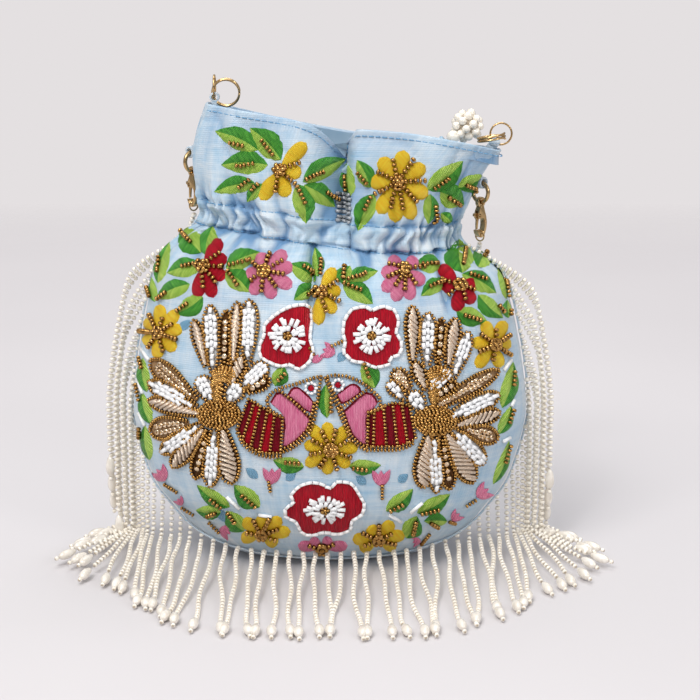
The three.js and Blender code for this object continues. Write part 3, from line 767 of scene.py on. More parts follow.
def patch(name, shape, across, along, slant=0.0):  # shape(u, v) gives pixel and lift
    grid = bmesh.new()
    layer = grid.loops.layers.uv.new("UVMap")
    bmesh.ops.create_grid(grid, x_segments=along, y_segments=across, size=0.5)
    spots = {}
    for v in grid.verts:
        px, lift = shape(v.co.x + 0.5, v.co.y + 0.5)
        spots[v] = (px.x + slant * px.y, px.y - slant * px.x)
        v.co = onBag(px, lift)[0]
    for face in grid.faces:
        for loop in face.loops:
            loop[layer].uv = spots[loop.vert]
    sew(name, grid)


def sew(name, grid):
    bmesh.ops.recalc_face_normals(grid, faces=grid.faces)
    if sum(f.normal.y for f in grid.faces) > 0:
        bmesh.ops.reverse_faces(grid, faces=grid.faces)
    pour(grid, satin[name])


def area(name, outline, lift=0.7):  # any outline filled with satin stitch
    grid = bmesh.new()
    layer = grid.loops.layers.uv.new("UVMap")
    rim = [grid.verts.new((x, y, 0)) for x, y in outline]
    loop = [grid.edges.new(pair) for pair in zip(rim, [*rim[1:], rim[0]])]
    bmesh.ops.triangle_fill(grid, edges=loop, use_beauty=True)
    for _ in range(5):
        long = [e for e in grid.edges if e.calc_length() > 4.5]
        if long:
            bmesh.ops.subdivide_edges(grid, edges=long, cuts=1)
            bmesh.ops.triangulate(grid, faces=grid.faces)
    spots = {}
    for v in grid.verts:
        px = v.co.xy.copy()
        spots[v] = (px, lift * (0.4 if v.is_boundary else 1))
    for v, (px, high) in spots.items():
        v.co = onBag(px, high)[0]
    for face in grid.faces:
        for loop in face.loops:
            loop[layer].uv = spots[loop.vert][0]
    sew(name, grid)


def blade(base, tip, width, profile, bend=0.0):  # leaf, petal and feather all grow along a bent midrib
    base, tip = Vector(base), Vector(tip)
    run = tip - base
    left = Vector((run.y, -run.x)).normalized()

    def spot(u, v):
        return base + run * u + left * (v * width / 2 * profile(u) + bend * run.length * math.sin(math.pi * u))
    return spot


def leafProfile(u):
    return math.sin(math.pi * min(1, max(0, u)) ** 0.85) ** 0.85


def petalProfile(u):
    if u < 0.58:
        return 0.28 + 0.72 * math.sin(math.pi / 2 * max(0, u) / 0.58) ** 0.9
    return max(0, 1 - ((u - 0.58) / 0.42) ** 2.3) ** 0.5


def featherProfile(u):
    swell = 0.3 + 0.7 * math.sin(math.pi / 2 * min(1, u * 1.35))
    return swell * max(0, 1 - max(0, (u - 0.55) / 0.45) ** 2.4) ** 0.6


def onOval(middle, angle, wide, tall=None):  # pixel on a round or oval line
    return Vector(middle) + Vector((wide * math.cos(angle), (tall or wide) * math.sin(angle)))


def rounded(points):  # closed outline rounded through its points
    return [p.xy for p in smoothLine([Vector((*p, 0)) for p in [*points, points[0]]], 3)]


def sewBlade(name, spot, low, high, slant):  # small leaf or bud, domed across
    patch(name, lambda u, v: (spot(u, v * 2 - 1), low + high * (1 - (v * 2 - 1) ** 2)), 4, 6, slant)


# small hard pieces stamped along lines
def rod(sides, top=0.5, tall=1.0):
    return template(lambda b: bmesh.ops.create_cone(
        b, cap_ends=True, segments=sides, radius1=0.5, radius2=top, depth=tall))


tubeBit, coilBit, discBit = rod(7), rod(6), rod(9, 0.36, 0.16)
hard = {name: bmesh.new() for name in ("gold", "goldRight", "white", "coil", "sequin", "shadedWhite")}
small = {"bead": 2.15, "beadPitch": 1.72, "beadFlat": 0.68, "spotFlat": 0.78, "tubeLong": 3.0, "tubeWide": 1.75,
         "coilWide": 1.9, "sequin": 3.3}


def goldAt(px):
    return hard["gold"] if px[0] < bagMiddle.x else hard["goldRight"]


def beadRow(points, lift=0.85, size=1.0):
    line = [onBag(px, lift) for px in dense(points)]
    side = line[0][1]
    for p, along in walk([p for p, _ in line], small["beadPitch"] * size * mm):
        grown = small["bead"] * size * rng.uniform(0.92, 1.06) * mm
        stamp(goldAt(points[0]), endShadedBall, framed(p, along, side, (grown, grown, grown * small["beadFlat"])))


def beadSpot(px, lift=0.9, size=1.0, to=None):
    p, normal = onBag(px, lift)
    grown = small["bead"] * size * mm
    flat = normal.cross(Vector((rng.uniform(-1, 1), 0.1, rng.uniform(-1, 1))))  # the hole lies along the cloth
    stamp(to or goldAt(px), endShadedBall, framed(p, flat, normal, (grown, grown, grown * small["spotFlat"])))


def tubeRow(points, lift=0.8, gap=0.25, kind="white"):  # bugle beads end to end
    line = [onBag(px, lift) for px in dense(points)]
    long = small["tubeLong"] * mm
    run = [p for p, _ in line]
    total = sum((b - a).length for a, b in zip(run, run[1:]))
    count = max(1, round(total / (long + gap * mm)))
    for k in range(count):
        p, along = walk(run, total, (k + 0.5) / count * total)[0]
        wide = small["tubeWide"] * rng.uniform(0.93, 1.05) * mm
        stamp(hard[kind], tubeBit, framed(p, along, line[0][1], (wide, wide, total / count - gap * mm)))


def bar(kind, shape, a, b, wide, lift):
    p, normal = onBag(a, lift)
    q, _ = onBag(b, lift)
    if (q - p).length > 0.0004:
        stamp(hard[kind], shape, framed((p + q) / 2, q - p, normal, (wide * mm, wide * mm, (q - p).length)))


def sequinAt(px, lift=0.8, size=1.0):
    p, normal = onBag(px, lift)
    tipped = (normal + Vector((rng.uniform(-0.3, 0.3), 0, rng.uniform(-0.3, 0.3)))).normalized()
    grown = small["sequin"] * size * mm
    stamp(hard["sequin"], discBit, framed(p, tipped, zenith, (grown, grown, grown)))


# leaves: base, tip, width, which half is dark (1 left of base to tip, -1 right), bead row
leaves = [
    ((201, 253), (181, 226), 22, 1, (181, 231), (192, 244)), ((206, 256), (213, 226), 18, 1, None, None),
    ((158, 283), (170, 242), 14, 1, (161, 258), (160, 273)),
    ((201, 266), (167, 273), 18, -1, (184, 267), (196, 265)),
    ((190, 284), (156, 299), 16, -1, (160, 299), (170, 291)),
    ((203, 297), (176, 314), 18, 1, (179, 311), (190, 303)),
    ((226, 268), (260, 252), 18, 1, (231, 266), (246, 261)),
    ((226, 271), (250, 292), 20, 1, (229, 272), (238, 286)),
    ((155, 302), (151, 277), 10, 1, (150, 288), (153, 299)),
    ((316, 281), (289, 264), 17, -1, (303, 267), (315, 277)),
    ((318, 277), (315, 247), 11, -1, (322, 262), (322, 275)),
    ((317, 286), (294, 300), 15, -1, (306, 295), (314, 288)),
    ((342, 284), (350, 266), 17, 1, (344, 268), (343, 279)),
    ((346, 281), (378, 271), 14, 1, (348, 280), (365, 275)),
    ((343, 284), (373, 304), 18, 1, (344, 284), (362, 292)),
    ((441, 266), (415, 264), 17, -1, (423, 266), (438, 265)),
    ((446, 280), (421, 296), 14, -1, (430, 287), (442, 281)),
    ((462, 273), (459, 239), 26, 1, (465, 251), (462, 266)),
    ((478, 267), (490, 248), 18, 1, (483, 258), (489, 251)),
    ((462, 274), (496, 293), 18, 1, (469, 275), (485, 280)),
    ((478, 295), (503, 318), 16, -1, (497, 306), (502, 313)),
    ((506, 299), (497, 264), 9, -1, (503, 279), (506, 297)),
    ((508, 318), (507, 300), 9, 1, (508, 311), (508, 315)),
    ((456, 310), (487, 321), 17, -1, (464, 315), (481, 321)),
    ((275, 386), (284, 366), 15, -1, (279, 380), (287, 372)),
    ((375, 388), (362, 362), 17, -1, (364, 364), (369, 378)),
    ((327, 418), (326, 384), 12, 1, (331, 398), (331, 412)),
    ((147, 392), (143, 358), 12, 1, (142, 358), (145, 370)),
    ((151, 424), (142, 392), 12, 1, (139, 385), (142, 402)),
    ((150, 460), (145, 425), 12, 1, (142, 428), (142, 438)),
    ((502, 408), (513, 362), 15, -1, (512, 372), (511, 388)),
    ((499, 434), (511, 406), 12, -1, (511, 410), (506, 425)),
    ((493, 484), (509, 441), 10, -1, (508, 445), (502, 464)),
    ((230, 507), (197, 485), 14, 1, (212, 498), (222, 506)),
    ((222, 512), (196, 510), 13, 1, (209, 514), (217, 511)),
    ((260, 507), (234, 485), 18, 1, (243, 494), (257, 506)),
    ((244, 531), (226, 511), 17, 1, (229, 511), (236, 521)),
    ((304, 467), (273, 460), 15, 1, (286, 461), (300, 462)),
    ((349, 466), (381, 465), 14, -1, (353, 467), (369, 469)),
    ((386, 511), (413, 489), 15, -1, (390, 509), (404, 502)),
    ((417, 513), (450, 494), 15, -1, (421, 512), (437, 508)),
    ((406, 538), (417, 516), 18, -1, (415, 520), (412, 533)),
    ((447, 521), (424, 521), 12, -1, (430, 521), (438, 526)),
    ((258, 150), (215, 131), 20, -1, (231, 143), (247, 147)),
    ((281, 160), (250, 128), 22, -1, (262, 141), (275, 158)),
    ((268, 165), (221, 165), 21, -1, (237, 166), (254, 163)),
    ((255, 183), (214, 192), 16, -1, (241, 187), (252, 178)),
    ((263, 184), (247, 202), 12, -1, (258, 184), (252, 190)),
    ((303, 182), (346, 159), 18, 1, (305, 180), (321, 172)),
    ((304, 185), (335, 207), 18, 1, (325, 193), (338, 200)),
    ((298, 184), (306, 224), 20, 1, (297, 187), (305, 206)),
    ((351, 196), (347, 163), 14, 1, (348, 176), (349, 192)),
    ((370, 188), (357, 160), 16, -1, (358, 173), (367, 184)),
    ((374, 194), (358, 231), 18, -1, (371, 198), (364, 212)),
    ((427, 190), (463, 161), 20, -1, (434, 187), (447, 177)),
    ((458, 188), (484, 175), 15, -1, (465, 184), (475, 188)),
    ((440, 192), (464, 205), 22, 1, (447, 197), (458, 205)),
    ((430, 194), (428, 224), 14, 1, (434, 206), (435, 222)), ((441, 213), (452, 224), 10, 1, None, None)]
leafShape = {"wider": 1.14, "grooved": 0.25, "domed": 0.75, "bend": 0.06, "bead": 1.22}


def sewLeaf(base, tip, width, darkSide, rowFrom, rowTo):
    spot = blade(base, tip, width * leafShape["wider"], leafProfile, leafShape["bend"] * darkSide)
    for side in (1, -1):
        def half(u, v, side=side):
            arch = math.sin(math.pi * (0.15 + 0.85 * v))
            dome = leafShape["grooved"] + leafShape["domed"] * arch * leafProfile(u)
            ragged = 1 + 0.16 * wobble(u * 14 + base[0], base[1], side) * v
            return spot(u, v * side * ragged), dome * (0.15 if v > 0.98 else 1)
        patch("leafDark" if side == darkSide else "leafLight", half, 4, 12, 0.7 * side)
    if rowFrom:
        beadRow([rowFrom, rowTo], 1.85, leafShape["bead"])


for leaf in leaves:
    sewLeaf(*leaf)
print("leaves sewn")

# flowers: thread, middle, petal middles, petal width; bead rays run between the petals
flowers = [
    ("red", (203, 266), [(219, 260), (218, 274), (210, 287), (199, 287), (215, 248)], 13),
    ("yellow", (160, 333), [(160, 314), (172, 318), (175, 330), (170, 345), (158, 350), (149, 340), (150, 324)], 12),
    ("pink", (265, 272), [(262, 259), (279, 258), (284, 268), (283, 282), (270, 290), (256, 287), (252, 274)], 13),
    ("yellow", (320, 292), [(330, 276), (334, 291), (330, 306), (319, 314)], 12),
    ("pink", (405, 270), [(389, 272), (390, 284), (394, 262), (398, 291), (409, 290), (418, 279), (413, 262)], 13),
    ("red", (459, 285), [(446, 272), (447, 287), (470, 284), (469, 297), (458, 303)], 13),
    ("yellow", (493, 345), [(487, 329), (501, 329), (479, 343), (505, 344), (482, 360), (498, 360)], 12),
    ("yellow", (331, 449), [(328, 431), (316, 433), (313, 446), (314, 460), (328, 466), (343, 461), (349, 448),
                            (342, 434)], 12),
    ("yellow", (262, 533), [(249, 524), (262, 521), (275, 523), (281, 532), (272, 541), (248, 537)], 12),
    ("yellow", (378, 538), [(361, 539), (372, 530), (388, 527), (396, 536), (366, 546), (390, 545)], 12),
    ("pink", (322, 547), [(306, 546), (314, 542), (328, 541), (339, 546)], 10),
    ("yellow", (279, 170), [(297, 152), (294, 172), (284, 188), (267, 190)], 14),
    ("yellow", (398, 182), [(402, 161), (386, 166), (379, 182), (416, 171), (418, 191), (408, 207), (396, 209),
                            (385, 203)], 15)]
flowerShape = {"from": 0.22, "to": 1.52, "domed": 0.9, "ray": 1.2, "wider": 1.1, "bead": 1.34}


def sewPetal(name, middle, centre, width):
    middle, centre = Vector(middle), Vector(centre)
    reach = centre - middle
    spot = blade(middle + reach * flowerShape["from"], middle + reach * flowerShape["to"],
                 width * flowerShape["wider"], petalProfile)

    def shape(u, v):
        across = v * 2 - 1
        edge = 0.15 if abs(across) > 0.98 or u > 0.98 else 1
        dome = 0.3 + flowerShape["domed"] * (1 - across * across) ** 0.5 * petalProfile(u)
        return spot(u, across), dome * edge
    patch(name, shape, 8, 10, 0.9 * math.copysign(1, reach.x * reach.y))


for name, middle, petals, width in flowers:
    angles = []
    for centre in petals:
        sewPetal(name, middle, centre, width)
        angles.append(math.atan2(centre[1] - middle[1], centre[0] - middle[0]))
    reach = sum(math.dist(middle, c) for c in petals) / len(petals) * flowerShape["ray"]
    angles.sort()
    for a, b in zip(angles, [*angles[1:], angles[0] + 2 * math.pi]):
        if b - a < 1.7:
            ray = (a + b) / 2
            far = onOval(middle, ray, reach)
            beadRow([Vector(middle).lerp(far, 0.28), far], 1.75, flowerShape["bead"])
    for k in range(7):
        spot = onOval(middle, k * 1.047, 4.2) if k < 6 else Vector(middle)
        beadSpot(spot, 1.6, flowerShape["bead"] * (1.15 if k < 6 else 1.4))
print("flowers sewn")

# poppies: red satin edged with white bugles, a white star and gold beads in the middle
poppies = [
    {"star": (288, 336), "reach": 19, "flat": 1.0,
     "rim": [(280, 312), (290, 307), (302, 305), (309, 309), (311, 322), (310, 338), (313, 350), (309, 362),
             (299, 369), (290, 365), (280, 366), (269, 362), (261, 356), (260, 346), (264, 336), (265, 326),
             (272, 318)]},
    {"star": (371, 336), "reach": 19, "flat": 0.95,
     "rim": [(352, 309), (364, 307), (372, 310), (382, 307), (394, 311), (398, 322), (396, 332), (401, 343),
             (399, 354), (391, 358), (387, 365), (374, 367), (364, 363), (353, 361), (344, 352), (345, 342),
             (343, 332), (345, 319)]},
    {"star": (325, 508), "reach": 21, "flat": 0.66,
     "rim": [(291, 494), (299, 486), (310, 482), (321, 483), (330, 487), (338, 481), (351, 483), (358, 492),
             (364, 504), (361, 514), (352, 520), (350, 528), (338, 533), (324, 531), (312, 534), (302, 531),
             (296, 521), (287, 516), (286, 508), (293, 502)]}]
for poppy in poppies:
    middle = Vector(poppy["star"])
    rim = rounded(poppy["rim"])
    area("red", rim[:-1], 0.8)
    tubeRow(rim, 1.0)
    for ring, (near, far, count, lift) in enumerate(((0.55, 1.0, 19, 1.5), (0.26, 0.62, 12, 2.1))):
        for k in range(count):
            angle = (k + 0.5 * ring) / count * 2 * math.pi + rng.uniform(-0.12, 0.12)
            way = Vector((math.cos(angle), math.sin(angle) * poppy["flat"])) * poppy["reach"]
            aside = Vector((-way.y, way.x)) * rng.uniform(-0.08, 0.08)
            tip = middle + way * far * rng.uniform(0.84, 1.02)
            bar("white", tubeBit, middle + way * near + aside, tip, 2.0, lift)
    for k in range(6):
        beadSpot(onOval(middle, k * 1.257, 3) if k < 5 else middle, 2.2)

# tulips and buds: pink blades from a bead stem: middle, heading to the open end, size, stem
tulips = [
    ((328, 351), (-1, -0.35), 17, (332, 346), (345, 340)),
    ((316, 358), (0.5, -0.8), 13, (310, 348), (314, 356)), ((272, 475), (0, -1), 20, (269, 481), (271, 493)),
    ((381, 477), (0, -1), 20, (382, 485), (382, 498)), ((161, 474), (-0.6, -0.8), 18, (166, 484), (180, 493)),
    ((483, 492), (0.8, -0.6), 18, (466, 505), (477, 498)),
    ((180, 501), (-0.6, -0.8), 10, (183, 507), (194, 514)),
    ((226, 531), (0.9, 0.4), 15, (210, 522), (221, 533)),
    ((456, 516), (0.7, -0.7), 13, (449, 521), (455, 523)), ((416, 541), (-1, 0.2), 10, (421, 543), (430, 532))]
for middle, way, size, stemFrom, stemTo in tulips:
    way = Vector(way).normalized()
    foot = Vector(middle) - way * size * 0.45
    for swing in (-0.5, 0.5, 0):
        aim = Matrix.Rotation(swing, 2) @ way
        spot = blade(foot, foot + aim * size * (0.95 if swing else 0.8), size * 0.38, leafProfile)
        sewBlade("pink", spot, 0.3, 0.5, 0.5)
    beadRow([stemFrom, stemTo], 0.9)

# single white bugles between the motifs, and the small panel of them inside the pleat, painted grey as white glass
# in shade
bugles = [
    ((227, 496), (240, 508)), ((259, 514), (272, 516)), ((389, 514), (401, 521)), ((410, 512), (422, 502)),
    ((141, 347), (150, 360)), ((138, 380), (144, 393)), ((140, 413), (146, 425)), ((503, 370), (510, 360)),
    ((510, 406), (513, 400)), ((502, 441), (509, 437))]
for a, b in bugles:
    bar("white", tubeBit, a, b, 1.8, 0.8)
for k in range(7):
    tubeRow([(335 + k % 2, 193 + k * 4.6), (351 + k % 2, 195 + k * 4.6)], 0.8, 0.25, "shadedWhite")

# tone-on-tone sprigs
sprigs = [((258, 478), (246, 468)), ((286, 480), (296, 472)), ((366, 484), (356, 476)), ((398, 482), (408, 474)),
          ((228, 522), (216, 508)), ((300, 352), (312, 344)), ((345, 352), (338, 362)), ((180, 330), (190, 320))]
for base, tip in sprigs:
    sewBlade("paleBlue", blade(base, tip, 9, leafProfile), 0.2, 0.2, 0.6)
print("poppies, buds and sprigs sewn")

# two creatures face to face: feathers (base, tip, width, fill), hub, striped body and head
feathers = [
    ((207, 366), (195, 320), 12, "coil"), ((214, 372), (211, 305), 15, "white"),
    ((225, 372), (227, 310), 12, "bronze"), ((234, 362), (238, 302), 12, "coil"),
    ((248, 362), (250, 300), 17, "white"), ((233, 383), (243, 356), 14, "coil"),
    ((243, 386), (267, 364), 17, "white"), ((246, 392), (270, 378), 13, "bronze"),
    ((228, 403), (240, 384), 18, "white"), ((215, 402), (200, 377), 18, "white"),
    ((197, 402), (152, 360), 18, "sequin"), ((198, 408), (150, 382), 16, "white"),
    ((202, 414), (150, 400), 14, "coil"), ((190, 424), (151, 430), 20, "sequin"),
    ((202, 424), (162, 452), 15, "white"), ((205, 428), (173, 466), 16, "coil"),
    ((209, 430), (196, 478), 14, "bronze"), ((215, 430), (211, 486), 16, "white"),
    ((224, 428), (232, 483), 20, "coil"), ((412, 362), (412, 306), 14, "coil"),
    ((426, 366), (428, 313), 16, "white"), ((437, 366), (441, 318), 10, "bronze"),
    ((447, 366), (455, 318), 14, "coil"), ((452, 378), (468, 332), 14, "white"),
    ((424, 388), (414, 362), 13, "coil"), ((426, 392), (449, 370), 17, "white"),
    ((432, 398), (456, 382), 14, "bronze"), ((430, 410), (498, 370), 14, "sequin"),
    ((446, 418), (498, 394), 16, "white"), ((455, 425), (499, 412), 14, "coil"),
    ((462, 428), (497, 438), 16, "sequin"), ((424, 412), (410, 392), 16, "white"),
    ((404, 398), (388, 382), 12, "white"), ((410, 390), (393, 370), 16, "sequin"),
    ((428, 434), (422, 487), 20, "coil"), ((433, 434), (436, 492), 14, "white"),
    ((441, 434), (449, 489), 15, "bronze"), ((446, 432), (472, 482), 20, "coil"),
    ((452, 430), (483, 463), 18, "white")]
# thread-coloured pads under the feathers; the brown pads also serve as painted shade between the beads
featherPad = {"white": "cream", "coil": "brown", "bronze": "brown", "sequin": "tan"}
featherShape = {"wider": 1.12, "lane": 3.9, "tube": 2.1, "tubeStep": 6.4, "coilStep": 4.9,
                "slant": 4.2, "sequinStep": 5.6, "bronzeStep": 11}


def sewFeather(base, tip, width, fill):
    width *= featherShape["wider"]
    spot = blade(base, tip, width, featherProfile)
    long = math.dist(base, tip)
    patch(featherPad[fill], lambda u, v: (spot(u, v * 2 - 1), 0.35), 4, 10, 0.3)
    steps = [k / 16 for k in range(17)]
    beadRow([*[spot(u, 1) for u in steps], *[spot(u, -1) for u in steps[::-1]]], 0.95)
    if fill == "white":
        lanes = 3 if width > 14.5 else 2
        for n in range(lanes):
            v = (n - (lanes - 1) / 2) * featherShape["lane"]
            count = max(1, round(long * 0.9 / featherShape["tubeStep"]))
            for k in range(count):
                u = 0.06 + 0.88 * (k + 0.5 + 0.25 * (n % 2)) / count
                room = width / 2 * featherProfile(min(1, u)) - 3.2
                if abs(v) < room + 0.8 and u < 0.96:
                    a, b = spot(u - 2.7 / long, 0), spot(u + 2.7 / long, 0)
                    side = (spot(u, 1) - spot(u, 0)).normalized()
                    shift, tilt = side * v, side * rng.uniform(-1.3, 1.3)
                    bar("white", tubeBit, a + shift - tilt, b + shift + tilt, featherShape["tube"], 1.3)
    elif fill == "coil":
        count = max(2, round(long / featherShape["coilStep"]))
        for k in range(count):
            u = 0.08 + 0.84 * k / (count - 1)
            room = max(0.15, 1 - 2.9 / max(1, width / 2 * featherProfile(u)))
            slant = featherShape["slant"] / long
            a, b = spot(min(0.95, u + slant), room), spot(max(0.03, u - slant), -room)
            bar("coil", coilBit, a, b, small["coilWide"], 1.25)
    elif fill == "sequin":
        count = max(1, round(long / featherShape["sequinStep"]))
        for k in range(count):
            u = 0.12 + 0.76 * (k + 0.5) / count
            for v in ((-0.32, 0.32) if width * featherProfile(u) > 15 else (0,)):
                sequinAt(spot(u, v), 0.95)
                beadSpot(spot(u, v), 1.3, 0.5)
    else:
        for v in (-0.45, 0, 0.45):
            if abs(v) * width < 4.6:
                beadRow([spot(0.1 + 0.08 * k, v) for k in range(10)], 1.0)
        count = max(1, round(long / featherShape["bronzeStep"]))
        for k in range(count):
            sequinAt(spot(0.2 + 0.65 * (k + 0.5) / count, 0), 1.9, 0.9)


for feather in feathers:
    sewFeather(*feather)

# hubs of solid gold beads: middle, half width, half height
hubs = [((220, 414), 22, 15), ((434, 420), 22, 15), ((218, 388), 6, 13), ((433, 392), 5, 12),
        ((225, 374), 12, 8), ((438, 374), 12, 8)]
for middle, wide, tall in hubs:
    area("brown", [onOval(middle, k / 4, wide, tall) for k in range(25)], 0.4)
    for ring in range(7):
        share = ring / 6.5
        count = max(1, round(2 * math.pi * share * (wide + tall) / 2 / 3.3))
        for k in range(count):
            angle = k / count * 2 * math.pi + ring
            beadSpot(onOval(middle, angle, wide * share, tall * share), 1.2 + 0.5 * (1 - share))

# striped bodies: bead lines from upper to lower edge with satin between them
bodies = [
    [((249, 399), (238, 429)), ((255, 402), (243, 440)), ((261, 406), (251, 447)), ((268, 410), (260, 451)),
     ((275, 414), (270, 453)), ((283, 417), (281, 452))],
    [((368, 412), (367, 446)), ((374, 410), (373, 446)), ((383, 406), (386, 446)), ((392, 403), (397, 446)),
     ((401, 403), (407, 443)), ((409, 406), (415, 438))]]
for lines in bodies:
    for k, ((a, b), (c, d)) in enumerate(zip(lines, lines[1:])):
        a, b, c, d = Vector(a), Vector(b), Vector(c), Vector(d)
        patch("red" if k % 2 else "darkRed", lambda u, v: (a.lerp(b, v).lerp(c.lerp(d, v), u), 0.75), 8, 4, 0.0)
    for a, b in lines:
        beadRow([a, b], 1.3)
    beadRow([a for a, _ in lines], 1.0)
    beadRow([b for _, b in lines], 1.0)
    beadRow([Vector(b) + Vector((0, 3.4)) for _, b in lines], 0.9)

# heads: outline in beads, two pink areas, the bead line between them, the eye
heads = [
    {"outline": [(281, 452), (290, 449), (299, 443), (310, 432), (315, 417), (318, 400), (321, 376),
                 (310, 379), (296, 384), (284, 387), (274, 391), (267, 399), (269, 409), (281, 416)],
     "main": [(270, 402), (281, 392), (311, 418), (309, 429), (296, 442), (286, 448), (283, 447), (283, 416)],
     "patch": [(287, 395), (292, 388), (300, 388), (314, 402), (313, 413), (302, 408)],
     "divide": [(280, 390), (296, 403), (312, 418)], "eye": (311, 388)},
    {"outline": [(367, 450), (358, 445), (350, 438), (344, 424), (337, 406), (325, 377), (334, 375),
                 (346, 376), (357, 380), (366, 385), (379, 397), (381, 408), (369, 413)],
     "main": [(343, 411), (366, 392), (378, 402), (369, 413), (367, 430), (366, 446), (356, 440), (348, 428)],
     "patch": [(336, 395), (350, 384), (359, 386), (360, 394), (342, 404)],
     "divide": [(339, 409), (352, 400), (366, 390)], "eye": (338, 385)}]
for head in heads:
    for part in ("main", "patch"):  # pink satin with a dark red edge showing round it
        rim = rounded(head[part])[:-1]
        middle = sum(rim, Vector((0, 0))) / len(rim)
        area("darkRed", rim, 0.45)
        area("pink", [p + (middle - p).normalized() * 2.2 for p in rim], 0.95)
    centre = sum((Vector(p) for p in head["outline"]), Vector((0, 0))) / len(head["outline"])
    beadRow(head["outline"], 1.0)
    beadRow([Vector(p) - (Vector(p) - centre).normalized() * 3.6 for p in head["outline"][:6]], 1.1)
    beadRow(head["divide"], 1.4)
    for k in range(9):
        beadSpot(onOval(head["eye"], k / 9 * 2 * math.pi, 5.4), 1.0, 0.9, hard["white"])
    area("red", [onOval(head["eye"], k, 3.4) for k in range(6)], 1.1)
print("creatures beaded")

for name, bm in satin.items():
    look = finish("thread" + name.title(), threadPaint(*threads[name]), Specular_IOR_Level=0.3)
    keep("satin" + name.title(), bm, look, "silk")
bronze = finish("bronzeBead", shinePaint(tone(138, 98, 46), tone(210, 164, 96), 0.12), Metallic=0.95)
whitePaint = shinePaint(tone(238, 240, 242), tone(250, 250, 250), 0.22, 520, tone(190, 190, 192))
whiteGlass = finish("whiteGlass", whitePaint, Coat_Weight=0.5)
# white glass with painted shade, for the bugles deep in the pleat
shadedWhiteGlass = finish("shadedWhiteGlass", shinePaint(tone(120, 126, 134), tone(176, 180, 184), 0.2), Coat_Weight=0.5)
champagne = finish("champagneCoil", wirePaint, Metallic=0.7)
sequinFoil = finish("sequinFoil", shinePaint(tone(214, 182, 146), tone(244, 224, 196), 0.16, 300), Metallic=0.9)
hardLooks = {"gold": (bronze, "gold"), "goldRight": (bronze, "gold"), "white": (whiteGlass, "pearl"),
             "coil": (champagne, "gold"), "sequin": (sequinFoil, "gold"), "shadedWhite": (shadedWhiteGlass, "pearl")}
for name, bm in hard.items():
    keep("beads" + name.title(), bm, *hardLooks[name])

# stitching: two rows that hold the casing and one under the edge of the collar
stitch = {"pitch": 3.2, "long": 2.3, "thick": 0.55, "rows": [(11.0, 0.3, 0), (13.0, 0.3, 0), (topRow, 0.3, -2.6)]}


def stitchPaint(start, place, uv):
    twist = start.wave(place, 1800, 0.0, 0.0, "DIAGONAL")
    return {"Base_Color": twist.between(tone(84, 138, 182), tone(126, 176, 212))}


bm = bmesh.new()
for row, off, lift in stitch["rows"]:
    line = [bagPoint(row, k / 700 * 2 * math.pi, -off, lift)[0] * mm for k in range(701)]
    for p, along in walk(line, stitch["pitch"] * mm):
        size = (stitch["thick"] * mm, stitch["thick"] * mm, stitch["long"] * mm)
        stamp(bm, coilBit, framed(p, along, Vector((p.x, p.y, 0)), size))
keep("stitching", bm, finish("stitchThread", stitchPaint, Roughness=0.6), "silk")
print("embroidery finished")


# metal pieces and tabs keep their CAD shape, with rounded edges and a finish
for name, node in nodes.items():
    if "_tab_" in name:
        dress, wear = plainSilk, 0.25
    elif "ring" in name and name != "drawstring":
        dress, wear = gold, 0.0
    elif "clasp" in name:
        dress, wear = gold, 0.22
    else:
        continue
    node.data.materials.clear()
    node.data.materials.append(dress)
    weld = node.modifiers.new("weld", "WELD")
    weld.merge_threshold = 0.00002
    if wear:
        edge = node.modifiers.new("edge", "BEVEL")
        edge.width = wear * mm
        edge.segments = 2
        edge.limit_method = "ANGLE"
        edge.angle_limit = math.radians(35)
    else:
        rounding = node.modifiers.new("round", "SUBSURF")
        rounding.levels = rounding.render_levels = 2
    node.data.polygons.foreach_set("use_smooth", [True] * len(node.data.polygons))
print("metal finished")


# studio: pale floor to the table's far edge, pale grey beyond it, soft light from above and the left
def floorPaint(start, place, uv):
    faint = start.cloud(place, 3, 2.0)
    away = start.node("SeparateXYZ", {}, {0: place}, 1).spread(-0.1, 1.0)
    glow = away.between((0, 0, 0, 1), (0.2, 0.187, 0.19, 1))  # the far table melts into the backdrop
    fade = 1 - start.node("SeparateXYZ", {}, {0: place}, 1).spread(0.95, 1.3)
    body = faint.spread(0.3, 0.7).between(tone(204, 201, 203), tone(208, 205, 207))
    return {"Base_Color": body, "Emission_Color": glow, "Alpha": fade}


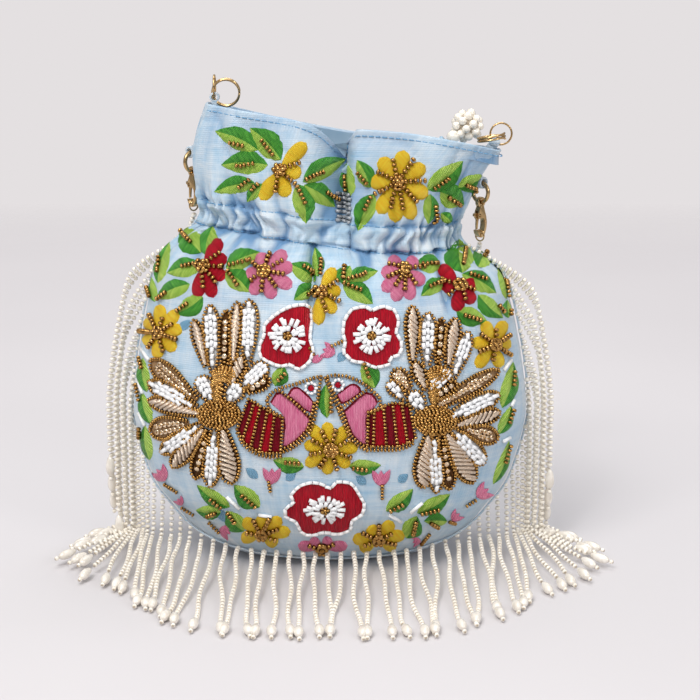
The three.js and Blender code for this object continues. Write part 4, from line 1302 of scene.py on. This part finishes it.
table = {"reach": (2.4, 1.25, 1), "shift": (0, 0.05, -0.0002)}
bm = bmesh.new()
bmesh.ops.create_grid(bm, x_segments=2, y_segments=2, size=1.0)
bmesh.ops.scale(bm, verts=bm.verts, vec=table["reach"])
bmesh.ops.translate(bm, verts=bm.verts, vec=table["shift"])
floorMesh = bpy.data.meshes.new("floor")
bm.to_mesh(floorMesh)
bm.free()
floor = bpy.data.objects.new("floor", floorMesh)
floorLook = finish("floor", floorPaint, Roughness=0.8, Specular_IOR_Level=0.2, Emission_Strength=1.0)
floor.data.materials.append(floorLook)
scene.collection.objects.link(floor)

world = bpy.data.worlds.new("studio")
world.use_nodes = True
scene.world = world
start = Shade(world.node_tree)
shown = start.maths("MAXIMUM", start.node("LightPath", {}, {}, "Is Camera Ray"),
                    start.node("LightPath", {}, {}, "Is Transmission Ray"))
height = start.node("SeparateXYZ", {}, {0: start.node("TexCoord", {}, {}, "Generated")}, 2)
dome = height.spread(-0.2, 0.8).between((0.2, 0.2, 0.205, 1), (0.68, 0.675, 0.68, 1))  # brighter overhead
sky = shown.between(dome, tone(228, 224, 225))
background = world.node_tree.nodes["Background"]
world.node_tree.links.new(sky.socket, background.inputs["Color"])
background.inputs["Strength"].default_value = 1.0

lampsAim = Vector((0, 0, 0.1))
lamps = {  # place, size, power, colour
    "key": ((-0.42, -0.78, 1.2), (0.7, 0.7), 11, (1, 0.98, 0.96)),
    "spark": ((-0.3, -0.85, 0.95), (0.12, 0.12), 1.5, (1, 1, 1)),
    "fill": ((0.9, -0.9, 0.7), (0.35, 0.35), 3, (0.98, 0.98, 1)),
    "top": ((0.1, 0.3, 1.2), (0.5, 0.4), 4, (1, 1, 1))}
for name, (place, size, power, colour) in lamps.items():
    light = bpy.data.lights.new(name, "AREA")
    light.shape = "RECTANGLE"
    light.size, light.size_y = size
    light.energy = power
    light.color = colour
    made = bpy.data.objects.new(name, light)
    scene.collection.objects.link(made)
    made.location = place
    made.rotation_euler = (lampsAim - Vector(place)).to_track_quat("-Z", "Y").to_euler()
print("studio lit")
